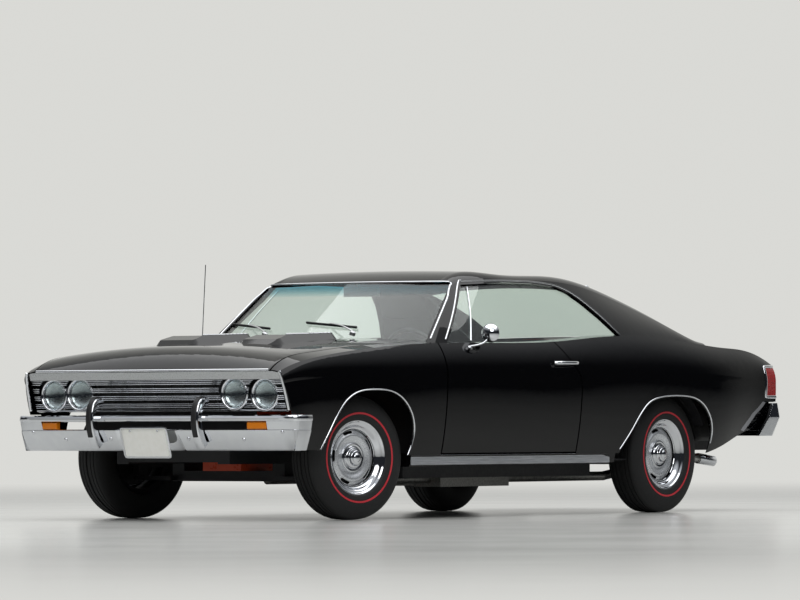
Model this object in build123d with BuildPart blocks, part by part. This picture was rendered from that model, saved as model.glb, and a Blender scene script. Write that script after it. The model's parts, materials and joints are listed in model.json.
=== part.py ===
import math
import os

from build123d import *

os.makedirs("parts", exist_ok=True)

# Axes in mm: +X forward, +Y left, +Z up, floor at Z = 0.

# chassis sizes
WHEELBASE = 2921
TRACK = 1473
FRONT_AXLE_X = 1615
REAR_AXLE_X = FRONT_AXLE_X - WHEELBASE
HALF_TRACK = TRACK / 2
TYRE_RADIUS = 332
TYRE_WIDTH = 205
RIM_RADIUS = 190
RIM_WIDTH = 150
AXLE_Z = TYRE_RADIUS
STEER_REST_DEG = -11
KINGPIN_OFFSET = 60
STUB_RADIUS = 32
KINGPIN_RADIUS = 14
PIN_FIT = 0.3
SEAT_FIT = 0.3

# body sizes
PANEL = 6
DOOR_GAP = 11
PANEL_GAP = 9
DOOR_FRONT_X = 992
DOOR_REAR_X = -288
DOOR_REAR_TOP_X = -111
DOOR_BOTTOM_Z = 352
DOOR_INNER_Y = 800
HOOD_REAR_X = 1085
LID_FRONT_X = -1738
LID_HALF_WIDTH = 688
TAIL_X = -2400
NOSE_X = 2396
CABIN_HALF_WIDTH = 790
PILLAR_WALL = 26
GLASS = 6
GLASS_INSET = 10

# hinge axes
DOOR_AXIS_X = DOOR_FRONT_X - DOOR_GAP / 2 - 23
DOOR_AXIS_Y = 920
DOOR_PIN_RADIUS = 4
HOOD_AXIS_X = HOOD_REAR_X - 150
HOOD_AXIS_Z = 890
LID_AXIS_X = LID_FRONT_X + 158
LID_AXIS_Z = 880
LID_PIN_RADIUS = 6
LID_SWEEP = 30

# Sections of the lower body, nose to tail; each point is (height, half width).
BODY_COLUMNS = ("x", "sill", "belly", "crease", "peak", "edge", "crown")
BODY_TABLE = [
    (NOSE_X, (372, 838), (580, 872), (720, 864), (778, 846), (784, 790), 795),
    (2290, (372, 852), (580, 888), (738, 884), (822, 862), (846, 795), 892),
    (2060, (372, 866), (580, 908), (756, 908), (868, 876), (888, 788), 934),
    (FRONT_AXLE_X, (300, 885), (560, 932), (778, 938), (915, 884), (926, 772), 962),
    (960, (285, 888), (560, 938), (792, 950), (948, 884), (956, 762), 985),
    (-200, (285, 888), (560, 940), (800, 952), (967, 882), (974, 770), 996),
    (-600, (290, 890), (580, 940), (806, 953), (993, 874), (1002, 766), 1018),
    (REAR_AXLE_X, (300, 888), (590, 938), (800, 950), (984, 868), (996, 735), 1012),
    (-1860, (385, 868), (600, 915), (775, 926), (940, 856), (952, 700), 966),
    (TAIL_X, (430, 838), (620, 872), (735, 876), (845, 842), (856, 690), 866),
]

# Sections of the roof and pillars, windscreen foot to deck.
ROOF_COLUMNS = ("x", "belt", "rail", "corner", "crown")
ROOF_TABLE = [
    (1050, (925, 858), (1262, 612), (1290, 540), 1304),
    (450, (925, 862), (1290, 628), (1320, 548), 1334),
    (0, (925, 864), (1308, 642), (1338, 560), 1352),
    (-380, (925, 866), (1306, 644), (1336, 562), 1351),
    (-650, (930, 868), (1286, 648), (1324, 562), 1341),
    (-935, (930, 864), (1228, 664), (1272, 566), 1294),
    (-1219, (925, 856), (1146, 694), (1194, 576), 1218),
    (-1450, (915, 850), (1062, 742), (1106, 600), 1132),
    (LID_FRONT_X, (900, 842), (966, 800), (984, 640), 996),
]

# Windscreen: plan curve at two heights, as (height, centre x, x at its reach to the side).
SCREEN_REACH = 900
SCREEN_FOOT = (985, 985, 779)
SCREEN_HEAD = (1300, 560, 398)
SCREEN_OPENING = [(725, 968), (622, 1286)]

# Side window outline, then the arches, all in side view.
WINDOW_OUTLINE = [
    (792, 940),
    (440, 1274),
    (55, 1292),
    (-262, 1288),
    (-440, 1272),
    (-556, 1236),
    (-647, 1178),
    (-747, 1094),
    (-840, 1000),
    (-850, 930),
]
ARCH_EASE = 150
FRONT_ARCH = [
    (2090, 250),
    (2040, 372),
    (1990, 470),
    (1940, 560),
    (1870, 634),
    (1775, 676),
    (1645, 687),
    (1510, 679),
    (1405, 641),
    (1325, 573),
    (1285, 491),
    (1290, 409),
    (1318, 327),
    (1345, 250),
]
REAR_ARCH = [
    (-700, 250),
    (-735, 363),
    (-905, 562),
    (-985, 622),
    (-1100, 649),
    (-1275, 656),
    (-1430, 644),
    (-1540, 605),
    (-1625, 535),
    (-1662, 460),
    (-1662, 383),
    (-1640, 250),
]


def arc_circle(a, b, c):
    """Centre and radius of the circle through three points (y, z)."""
    d = 2 * (a[0] * (b[1] - c[1]) + b[0] * (c[1] - a[1]) + c[0] * (a[1] - b[1]))
    sa = a[0] ** 2 + a[1] ** 2
    sb = b[0] ** 2 + b[1] ** 2
    sc = c[0] ** 2 + c[1] ** 2
    y = (sa * (b[1] - c[1]) + sb * (c[1] - a[1]) + sc * (a[1] - b[1])) / d
    z = (sa * (c[0] - b[0]) + sb * (a[0] - c[0]) + sc * (b[0] - a[0])) / d
    return y, z, math.hypot(a[0] - y, a[1] - z)


def section_plane(x):
    return Plane(origin=(x, 0, 0), x_dir=(0, 1, 0), z_dir=(1, 0, 0))


def body_face(row, inset, drop):
    """One cross-section of the lower body, inset for the inner skin."""
    sill, belly, crease = [(p[1], p[0]) for p in (row["sill"], row["belly"], row["crease"])]
    cy, cz, r = arc_circle(sill, belly, crease)

    def side(z):
        return (cy + math.sqrt((r - inset) ** 2 - (z - cz) ** 2), z)

    low = side(sill[1] - drop)
    mid = side(belly[1])
    top = side(crease[1])
    peak = (row["peak"][1] - 0.8 * inset, row["peak"][0] - inset)
    edge = (row["edge"][1], row["edge"][0] - inset)
    swell = (
        0.42 * top[0] + 0.58 * peak[0] + 9,
        0.42 * top[1] + 0.58 * peak[1] + 5,
    )
    with BuildSketch(section_plane(row["x"])) as face:
        with BuildLine():
            Line((-low[0], low[1]), low)
            ThreePointArc(low, mid, top)
            ThreePointArc(top, swell, peak)
            Line(peak, edge)
            ThreePointArc(edge, (0, row["crown"] - inset), (-edge[0], edge[1]))
            Line((-edge[0], edge[1]), (-peak[0], peak[1]))
            ThreePointArc((-peak[0], peak[1]), (-swell[0], swell[1]), (-top[0], top[1]))
            ThreePointArc((-top[0], top[1]), (-mid[0], mid[1]), (-low[0], low[1]))
        make_face()
    return face.sketch.face()


def roof_face(row, inset, drop):
    """One cross-section of the roof and pillars."""
    belt_z, belt_y = row["belt"]
    rail_z, rail_y = row["rail"]
    slope = (belt_y - rail_y) / (rail_z - belt_z)
    low = (belt_y - inset + slope * drop, belt_z - drop)
    rail = (rail_y - 0.8 * inset, rail_z - 0.7 * inset)
    corner = (row["corner"][1] - 0.2 * inset, row["corner"][0] - inset)
    swell = (0.5 * (low[0] + rail[0]) + 10, 0.5 * (low[1] + rail[1]) + 7)
    turn = (0.5 * (rail[0] + corner[0]) + 5, 0.5 * (rail[1] + corner[1]) + 8)
    with BuildSketch(section_plane(row["x"])) as face:
        with BuildLine():
            Line((-low[0], low[1]), low)
            ThreePointArc(low, swell, rail)
            ThreePointArc(rail, turn, corner)
            ThreePointArc(corner, (0, row["crown"] - inset), (-corner[0], corner[1]))
            ThreePointArc((-corner[0], corner[1]), (-turn[0], turn[1]), (-rail[0], rail[1]))
            ThreePointArc((-rail[0], rail[1]), (-swell[0], swell[1]), (-low[0], low[1]))
        make_face()
    return face.sketch.face()


def body_solid(inset, drop):
    rows = [dict(zip(BODY_COLUMNS, values)) for values in BODY_TABLE]
    with BuildPart() as solid:
        loft(sections=[body_face(row, inset, drop) for row in rows])
    return solid.part


def roof_solid(inset, drop):
    rows = [dict(zip(ROOF_COLUMNS, values)) for values in ROOF_TABLE]
    with BuildPart() as solid:
        loft(sections=[roof_face(row, inset, drop) for row in rows])
    return solid.part


def side_block(points, y_from, y_to):
    """Side-view outline (x, z) pulled out across the car."""
    with BuildPart() as block:
        with BuildSketch(Plane.XZ.offset(-y_from)):
            Polygon(*points, align=None)
        extrude(amount=-(y_to - y_from))
    return block.part


def arch_block(points):
    """Wheel opening (x, z) through both sides, its corners eased into arcs."""
    with BuildPart() as block:
        with BuildSketch(Plane.XZ.offset(-1000)):
            with BuildLine():
                FilletPolyline(*points, radius=ARCH_EASE)
                Line(points[-1], points[0])
            make_face()
        extrude(amount=2000)
    return block.part


def plan_block(points, z_from, z_to):
    """Plan outline (x, y) pulled up."""
    with BuildPart() as block:
        with BuildSketch(Plane.XY.offset(z_from)):
            Polygon(*points, align=None)
        extrude(amount=z_to - z_from)
    return block.part


def box(x0, x1, y0, y1, z0, z1):
    with BuildPart() as block:
        with Locations(((x0 + x1) / 2, (y0 + y1) / 2, (z0 + z1) / 2)):
            Box(x1 - x0, y1 - y0, z1 - z0)
    return block.part


def rod(start, end, radius):
    """Round bar between two points."""
    line = Vector(*end) - Vector(*start)
    with BuildPart() as bar:
        with BuildSketch(Plane(origin=start, z_dir=line)):
            Circle(radius)
        extrude(amount=line.length)
    return bar.part


def screen_arc(z, forward):
    """Plan arc of the windscreen at height z, pushed forward by a distance."""
    share = (z - SCREEN_FOOT[0]) / (SCREEN_HEAD[0] - SCREEN_FOOT[0])
    centre = SCREEN_FOOT[1] + share * (SCREEN_HEAD[1] - SCREEN_FOOT[1]) + forward
    side = SCREEN_FOOT[2] + share * (SCREEN_HEAD[2] - SCREEN_FOOT[2]) + forward
    return centre, side


def screen_x(y, z):
    """Forward place of the windscreen surface at one point."""
    centre, side = screen_arc(z, 0)
    return centre - (centre - side) * (y / SCREEN_REACH) ** 2


def screen_slab(back, front):
    """Leaning curved slab along the windscreen between two forward distances."""
    faces = []
    for z in (860, 1430):
        near, near_side = screen_arc(z, front)
        far, far_side = screen_arc(z, back)
        with BuildSketch(Plane.XY.offset(z)) as face:
            with BuildLine():
                ThreePointArc((near_side, SCREEN_REACH), (near, 0), (near_side, -SCREEN_REACH))
                Line((near_side, -SCREEN_REACH), (far_side, -SCREEN_REACH))
                ThreePointArc((far_side, -SCREEN_REACH), (far, 0), (far_side, SCREEN_REACH))
                Line((far_side, SCREEN_REACH), (near_side, SCREEN_REACH))
            make_face()
        faces.append(face.sketch.face())
    with BuildPart() as slab:
        loft(sections=faces, ruled=True)
    return slab.part


body_outer = body_solid(0, 0)
body_inner = body_solid(PANEL, 40)
roof_outer = roof_solid(0, 0)
roof_inner = roof_solid(PILLAR_WALL, 120)

# skins of the lower body, opened by the arches and the leaning nose
NOSE_LEAN = [
    (NOSE_X - 14, 786),
    (2312, 582),
    (2306, 566),
    (2200, 566),
    (2200, 250),
    (2700, 250),
    (2700, 786),
]
NOSE_BOW = 22
with BuildPart() as nose_cut:
    with BuildSketch(Plane.XY.offset(700)):
        with BuildLine():
            ThreePointArc((NOSE_X - NOSE_BOW, 860), (NOSE_X, 0), (NOSE_X - NOSE_BOW, -860))
            Line((NOSE_X - NOSE_BOW, -860), (2700, -860))
            Line((2700, -860), (2700, 860))
            Line((2700, 860), (NOSE_X - NOSE_BOW, 860))
        make_face()
    extrude(amount=300)
with BuildPart() as skin:
    add(body_outer)
    add(body_inner, mode=Mode.SUBTRACT)
    add(arch_block(FRONT_ARCH), mode=Mode.SUBTRACT)
    add(arch_block(REAR_ARCH), mode=Mode.SUBTRACT)
    add(side_block(NOSE_LEAN, -1000, 1000), mode=Mode.SUBTRACT)
    add(nose_cut.part, mode=Mode.SUBTRACT)

HOOD_SIDES = [(HOOD_REAR_X, 752), (FRONT_AXLE_X, 768), (2100, 784), (2250, 792), (2500, 796)]


def hood_plan(grow, rear):
    left = [(x, y + grow) for x, y in HOOD_SIDES]
    left[0] = (rear, left[0][1])
    return left + [(x, -y) for x, y in reversed(left)]


half_gap = PANEL_GAP / 2
hood_zone = plan_block(hood_plan(-half_gap, HOOD_REAR_X), 700, 1100)
hood_hole = plan_block(hood_plan(half_gap, HOOD_REAR_X - PANEL_GAP), 700, 1100)

# hood with gooseneck hinge arms
HOOD_ARM_Y = 690
HOOD_ARM = [
    (HOOD_AXIS_X - 14, HOOD_AXIS_Z - 8),
    (HOOD_AXIS_X + 10, HOOD_AXIS_Z - 14),
    (HOOD_AXIS_X + 118, HOOD_AXIS_Z - 92),
    (HOOD_AXIS_X + 190, HOOD_AXIS_Z - 92),
    (HOOD_AXIS_X + 330, 951),
    (HOOD_AXIS_X + 250, 951),
    (HOOD_AXIS_X + 176, HOOD_AXIS_Z - 66),
    (HOOD_AXIS_X + 128, HOOD_AXIS_Z - 66),
    (HOOD_AXIS_X + 12, HOOD_AXIS_Z + 12),
    (HOOD_AXIS_X - 10, HOOD_AXIS_Z + 12),
]
# raised blisters on the hood: plan size, foot height and side-view top line (x, z)
BLISTER_X = (1190, 1850)
BLISTER_Y = 285
BLISTER_WIDTH = 300
BLISTER_EASE = 90
BLISTER_FOOT_Z = 925
BLISTER_RISE = 85
BLISTER_TAPER = 36
BLISTER_TOP = [
    (BLISTER_X[0], BLISTER_FOOT_Z),
    (BLISTER_X[0], 1006),
    (1690, 992),
    (1790, 968),
    (BLISTER_X[1], 930),
    (BLISTER_X[1], BLISTER_FOOT_Z),
]
with BuildPart() as hood:
    add(skin.part)
    add(hood_zone, mode=Mode.INTERSECT)
    for side in (1, -1):
        with BuildPart(mode=Mode.PRIVATE) as blister:
            with BuildSketch(Plane.XY.offset(BLISTER_FOOT_Z)):
                with Locations((sum(BLISTER_X) / 2, side * BLISTER_Y)):
                    RectangleRounded(BLISTER_X[1] - BLISTER_X[0], BLISTER_WIDTH, BLISTER_EASE)
            extrude(amount=BLISTER_RISE, taper=BLISTER_TAPER)
            reach = side * BLISTER_Y
            add(side_block(BLISTER_TOP, reach - BLISTER_WIDTH, reach + BLISTER_WIDTH), mode=Mode.INTERSECT)
            add(body_inner, mode=Mode.SUBTRACT)
        add(blister.part)
    for side in (1, -1):
        y = side * HOOD_ARM_Y
        with BuildPart(mode=Mode.PRIVATE) as arm:
            add(side_block(HOOD_ARM, y - 6, y + 6))
            add(body_inner, mode=Mode.INTERSECT)
            add(
                rod(
                    (HOOD_AXIS_X, y - 20, HOOD_AXIS_Z),
                    (HOOD_AXIS_X, y + 20, HOOD_AXIS_Z),
                    LID_PIN_RADIUS + PIN_FIT,
                ),
                mode=Mode.SUBTRACT,
            )
        add(arm.part)

# fenders
FENDER_ZONE = [
    (DOOR_FRONT_X + DOOR_GAP / 2, 0),
    (NOSE_X + 20, 0),
    (NOSE_X + 20, 1000),
    (DOOR_FRONT_X + DOOR_GAP / 2, 1000),
]
with BuildPart() as fender_left:
    add(skin.part)
    add(plan_block(FENDER_ZONE, 250, 1100), mode=Mode.INTERSECT)
    add(hood_hole, mode=Mode.SUBTRACT)
    add(box(DOOR_FRONT_X, HOOD_REAR_X, -10, HOOD_SIDES[0][1] + half_gap, 700, 1100), mode=Mode.SUBTRACT)
    add(box(DOOR_FRONT_X, 1400, 0, 1000, 250, DOOR_BOTTOM_Z - DOOR_GAP + SEAT_FIT), mode=Mode.SUBTRACT)

# cowl between hood and windscreen
WIPER_X = 1016
WIPER_Y = (330, -270)
COWL_HALF = HOOD_SIDES[0][1] + half_gap - SEAT_FIT
FOOT_REAR_X = 797
FOOT_HALF = 845
with BuildPart() as cowl_panel:
    add(skin.part)
    with BuildPart(mode=Mode.PRIVATE) as cowl_zone:
        add(box(FOOT_REAR_X, HOOD_REAR_X - PANEL_GAP, -COWL_HALF, COWL_HALF, 900, 1100))
        add(box(FOOT_REAR_X, DOOR_FRONT_X + DOOR_GAP / 2 - SEAT_FIT, -FOOT_HALF, FOOT_HALF, 900, 1100))
    add(cowl_zone.part, mode=Mode.INTERSECT)
    with BuildPart(mode=Mode.PRIVATE) as cowl_back:
        add(screen_slab(-900, 8))
        add(box(-1000, 1100, -SCREEN_OPENING[0][0], SCREEN_OPENING[0][0], 800, 1500), mode=Mode.INTERSECT)
    add(cowl_back.part, mode=Mode.SUBTRACT)
    for y in WIPER_Y:
        add(rod((WIPER_X, y, 900), (WIPER_X, y, 1050), 10 + SEAT_FIT), mode=Mode.SUBTRACT)

# doors: skin, inner box and hinge sleeves
DOOR_OUTLINE = [
    (DOOR_FRONT_X - DOOR_GAP / 2, DOOR_BOTTOM_Z),
    (DOOR_FRONT_X - DOOR_GAP / 2, 1100),
    (DOOR_REAR_TOP_X + 10, 1100),
    (DOOR_REAR_TOP_X, 956),
    (DOOR_REAR_X + 14, 770),
    (DOOR_REAR_X, 700),
    (DOOR_REAR_X, DOOR_BOTTOM_Z),
]
DOOR_BOX = [
    (DOOR_AXIS_X - 28, DOOR_BOTTOM_Z + 18),
    (DOOR_AXIS_X - 28, 928),
    (DOOR_REAR_TOP_X + 80, 928),
    (DOOR_REAR_X + 70, 750),
    (DOOR_REAR_X + 48, 690),
    (DOOR_REAR_X + 48, DOOR_BOTTOM_Z + 18),
]
DOOR_HINGE_Z = (590, 770)
with BuildPart() as door_left:
    add(skin.part)
    add(side_block(DOOR_OUTLINE, CABIN_HALF_WIDTH, 1000), mode=Mode.INTERSECT)
    add(box(FOOT_REAR_X - 9, 1000, 700, FOOT_HALF + 7, 880, 1100), mode=Mode.SUBTRACT)
    with BuildPart(mode=Mode.PRIVATE) as inner_box:
        add(side_block(DOOR_BOX, DOOR_INNER_Y, 1000))
        add(body_inner, mode=Mode.INTERSECT)
    add(inner_box.part)
    for z in DOOR_HINGE_Z:
        add(box(DOOR_AXIS_X - 34, DOOR_AXIS_X, DOOR_AXIS_Y - 8, DOOR_AXIS_Y + 7, z + 2, z + 30))
        add(rod((DOOR_AXIS_X, DOOR_AXIS_Y, z + 2), (DOOR_AXIS_X, DOOR_AXIS_Y, z + 30), DOOR_PIN_RADIUS + 4))
    for z in DOOR_HINGE_Z:
        add(
            rod(
                (DOOR_AXIS_X, DOOR_AXIS_Y, z - 5),
                (DOOR_AXIS_X, DOOR_AXIS_Y, z + 35),
                DOOR_PIN_RADIUS + PIN_FIT,
            ),
            mode=Mode.SUBTRACT,
        )

# rear quarters with lock pillar
ROCKER_TOP_Z = DOOR_BOTTOM_Z - DOOR_GAP + SEAT_FIT
QUARTER_FRONT = [
    (DOOR_REAR_TOP_X + 10 - DOOR_GAP, 1100),
    (DOOR_REAR_TOP_X - DOOR_GAP, 956),
    (DOOR_REAR_X + 14 - DOOR_GAP, 770),
    (DOOR_REAR_X - DOOR_GAP, 700),
    (DOOR_REAR_X - DOOR_GAP, ROCKER_TOP_Z),
]
QUARTER_OUTLINE = QUARTER_FRONT + [(-760, ROCKER_TOP_Z), (-760, 250), (TAIL_X - 20, 250), (TAIL_X - 20, 1100)]
PILLAR_OUTLINE = [
    (DOOR_REAR_TOP_X - 30, 960),
    (DOOR_REAR_X - 30, 770),
    (DOOR_REAR_X - 30, ROCKER_TOP_Z),
    (-640, ROCKER_TOP_Z),
    (-700, 440),
    (-840, 600),
    (-840, 985),
]
with BuildPart() as quarter_left:
    add(skin.part)
    add(side_block(QUARTER_OUTLINE, 0, 1000), mode=Mode.INTERSECT)
    add(box(-1400, 500, -10, CABIN_HALF_WIDTH, 200, 1200), mode=Mode.SUBTRACT)
    add(box(-2500, -1380, -10, LID_HALF_WIDTH + half_gap, 200, 1200), mode=Mode.SUBTRACT)
    add(box(TAIL_X - 10, TAIL_X + 110.3, 0, 1000, 663.7, 826.3), mode=Mode.SUBTRACT)
    add(box(TAIL_X - 10, TAIL_X + 76, 0, 1000, 200, 630), mode=Mode.SUBTRACT)
    with BuildPart(mode=Mode.PRIVATE) as pillar:
        add(side_block(PILLAR_OUTLINE, DOOR_INNER_Y, 1000))
        add(body_inner, mode=Mode.INTERSECT)
    add(pillar.part)

# deck strip behind the rear window
DECK_FRONT_X = -1390
DECK_HALF = LID_HALF_WIDTH + half_gap - SEAT_FIT
with BuildPart() as deck_panel:
    add(skin.part)
    add(box(LID_FRONT_X + PANEL_GAP, DECK_FRONT_X, -DECK_HALF, DECK_HALF, 800, 1200), mode=Mode.INTERSECT)

# trunk lid with gooseneck arms
LID_ARM_Y = 560
LID_ARM = [
    (LID_AXIS_X + 14, LID_AXIS_Z - 8),
    (LID_AXIS_X - 10, LID_AXIS_Z - 14),
    (LID_AXIS_X - 96, LID_AXIS_Z - 150),
    (LID_AXIS_X - 200, LID_AXIS_Z - 150),
    (LID_AXIS_X - 330, 990),
    (LID_AXIS_X - 260, 990),
    (LID_AXIS_X - 176, LID_AXIS_Z - 124),
    (LID_AXIS_X - 112, LID_AXIS_Z - 124),
    (LID_AXIS_X - 14, LID_AXIS_Z + 12),
    (LID_AXIS_X + 10, LID_AXIS_Z + 12),
]
with BuildPart() as trunk_lid:
    add(skin.part)
    add(
        box(TAIL_X - 5, LID_FRONT_X, -LID_HALF_WIDTH + half_gap, LID_HALF_WIDTH - half_gap, 700, 1200),
        mode=Mode.INTERSECT,
    )
    for side in (1, -1):
        y = side * LID_ARM_Y
        with BuildPart(mode=Mode.PRIVATE) as arm:
            add(side_block(LID_ARM, y - 6, y + 6))
            add(body_inner, mode=Mode.INTERSECT)
            add(
                rod(
                    (LID_AXIS_X, y - 20, LID_AXIS_Z),
                    (LID_AXIS_X, y + 20, LID_AXIS_Z),
                    LID_PIN_RADIUS + PIN_FIT,
                ),
                mode=Mode.SUBTRACT,
            )
        add(arm.part)

# tail panel closes the back under the lid
TAIL_PANEL_X = TAIL_X + 24
with BuildPart() as tail_panel:
    add(body_inner)
    add(box(TAIL_PANEL_X - 12, TAIL_PANEL_X, -900, 900, 628, 832), mode=Mode.INTERSECT)
    for side in (1, -1):
        low = min(side * 598, side * 900)
        add(box(TAIL_X - 20, TAIL_X + 112, low, low + 302, 662, 900), mode=Mode.SUBTRACT)

# roof with windscreen frame, sails and window openings
TUNNEL_HALF = 590
TUNNEL = [
    (-856, 1420),
    (-856, 1312),
    (-872, 1284),
    (DECK_FRONT_X, 985),
    (DECK_FRONT_X, 880),
    (-1900, 880),
    (-1900, 1420),
]
with BuildPart() as screen_opening:
    with BuildSketch(Plane.YZ):
        Polygon(
            SCREEN_OPENING[0],
            SCREEN_OPENING[1],
            (-SCREEN_OPENING[1][0], SCREEN_OPENING[1][1]),
            (-SCREEN_OPENING[0][0], SCREEN_OPENING[0][1]),
            (-SCREEN_OPENING[0][0], 880),
            (SCREEN_OPENING[0][0], 880),
            align=None,
        )
    extrude(amount=1500)
with BuildPart() as roof_half:
    add(roof_outer)
    add(box(-1900, 1200, -1000, 0, 800, 1500), mode=Mode.INTERSECT)
    with BuildPart(mode=Mode.PRIVATE) as cavity:
        add(roof_inner)
        add(screen_slab(-45, 900), mode=Mode.SUBTRACT)
    add(cavity.part, mode=Mode.SUBTRACT)
    add(screen_slab(0, 900), mode=Mode.SUBTRACT)
    add(screen_opening.part, mode=Mode.SUBTRACT)
    add(side_block(WINDOW_OUTLINE, -1000, -400), mode=Mode.SUBTRACT)
    add(side_block(TUNNEL, -TUNNEL_HALF, TUNNEL_HALF), mode=Mode.SUBTRACT)
    add(box(-1900, LID_FRONT_X + LID_SWEEP, -LID_HALF_WIDTH - PANEL_GAP, 0, 800, 1500), mode=Mode.SUBTRACT)
    add(body_outer, mode=Mode.SUBTRACT)
with BuildPart() as roof:
    add(roof_half.part)
    add(mirror(roof_half.part, about=Plane.XZ, mode=Mode.PRIVATE))

# glass
glass_outer = roof_solid(GLASS_INSET, 20)
glass_inner = roof_solid(GLASS_INSET + GLASS, 20)
with BuildPart() as glass_skin:
    add(glass_outer)
    add(body_outer, mode=Mode.SUBTRACT)
    add(glass_inner, mode=Mode.SUBTRACT)


def shrink(points, amount):
    with BuildSketch() as outline:
        Polygon(*points, align=None)
        offset(amount=-amount, kind=Kind.INTERSECTION, mode=Mode.REPLACE)
    return outline.sketch.face()


with BuildPart() as window_zone:
    with BuildSketch(Plane.XZ):
        add(shrink(WINDOW_OUTLINE, 8))
    extrude(amount=-1000)
with BuildPart() as door_glass_left:
    add(glass_skin.part)
    add(window_zone.part, mode=Mode.INTERSECT)
    add(box(DOOR_REAR_TOP_X + 4, 1000, 0, 1000, 900, 1400), mode=Mode.INTERSECT)
with BuildPart() as quarter_glass_left:
    add(glass_skin.part)
    add(window_zone.part, mode=Mode.INTERSECT)
    add(box(-1000, DOOR_REAR_TOP_X - 7, 0, 1000, 900, 1400), mode=Mode.INTERSECT)
with BuildPart() as windscreen:
    add(screen_slab(-12 - GLASS, -12))
    add(screen_opening.part, mode=Mode.INTERSECT)
    add(body_outer, mode=Mode.SUBTRACT)
BACKLIGHT = [
    (-872 + 2, 1284),
    (DECK_FRONT_X + 2, 985),
    (DECK_FRONT_X + 2, 960),
    (DECK_FRONT_X + 9, 960),
    (DECK_FRONT_X + 9, 985),
    (-872 + 9, 1284),
]
with BuildPart() as rear_window:
    add(roof_inner)
    add(side_block(BACKLIGHT, -700, 700), mode=Mode.INTERSECT)
    add(body_outer, mode=Mode.SUBTRACT)

# floor, rockers, tunnel, trunk floor and rear wheel tubs
FLOOR_Z = 300
SHEET = 8
TRUNK_FLOOR_Z = 440
STEP_X = -960
FLOOR_FRONT_X = 1140
TUB_RADIUS = 372
TUB_INNER_Y = 592
TUNNEL_Y = 142
TUNNEL_Z = FLOOR_Z + 150
with BuildPart() as floor_pan:
    add(box(STEP_X, FLOOR_FRONT_X, -CABIN_HALF_WIDTH, CABIN_HALF_WIDTH, FLOOR_Z, FLOOR_Z + SHEET))
    add(box(-900, FLOOR_FRONT_X, -TUNNEL_Y - SHEET, TUNNEL_Y + SHEET, FLOOR_Z, TUNNEL_Z + 10))
    add(box(-980, FLOOR_FRONT_X + 10, -TUNNEL_Y, TUNNEL_Y, FLOOR_Z - 10, TUNNEL_Z), mode=Mode.SUBTRACT)
with BuildPart() as rocker:
    add(body_outer)
    add(
        box(-690, 1270, CABIN_HALF_WIDTH + SEAT_FIT, 1000, 280, DOOR_BOTTOM_Z - DOOR_GAP),
        mode=Mode.INTERSECT,
    )
with BuildPart() as rockers:
    add(rocker.part)
    add(mirror(rocker.part, about=Plane.XZ, mode=Mode.PRIVATE))
with BuildPart() as trunk_floor:
    edge = TUB_INNER_Y - SEAT_FIT
    add(box(STEP_X - SHEET, STEP_X - SEAT_FIT, -edge, edge, FLOOR_Z, TRUNK_FLOOR_Z + 60))
    add(box(TAIL_PANEL_X, STEP_X - SEAT_FIT, -edge, edge, TRUNK_FLOOR_Z + 52, TRUNK_FLOOR_Z + 60))
    add(box(STEP_X - 20, STEP_X + 10, -TUNNEL_Y, TUNNEL_Y, FLOOR_Z - 10, TUNNEL_Z), mode=Mode.SUBTRACT)
with BuildPart() as wheelhouses:
    for side in (1, -1):
        with BuildPart(mode=Mode.PRIVATE) as tub:
            add(
                rod(
                    (REAR_AXLE_X, side * TUB_INNER_Y, AXLE_Z),
                    (REAR_AXLE_X, side * 868, AXLE_Z),
                    TUB_RADIUS + SHEET,
                )
            )
            add(
                rod(
                    (REAR_AXLE_X, side * (TUB_INNER_Y + SHEET), AXLE_Z),
                    (REAR_AXLE_X, side * 900, AXLE_Z),
                    TUB_RADIUS,
                ),
                mode=Mode.SUBTRACT,
            )
            add(box(-2000, -700, -1000, 1000, -100, TRUNK_FLOOR_Z + 52), mode=Mode.SUBTRACT)
        add(tub.part)

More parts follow.
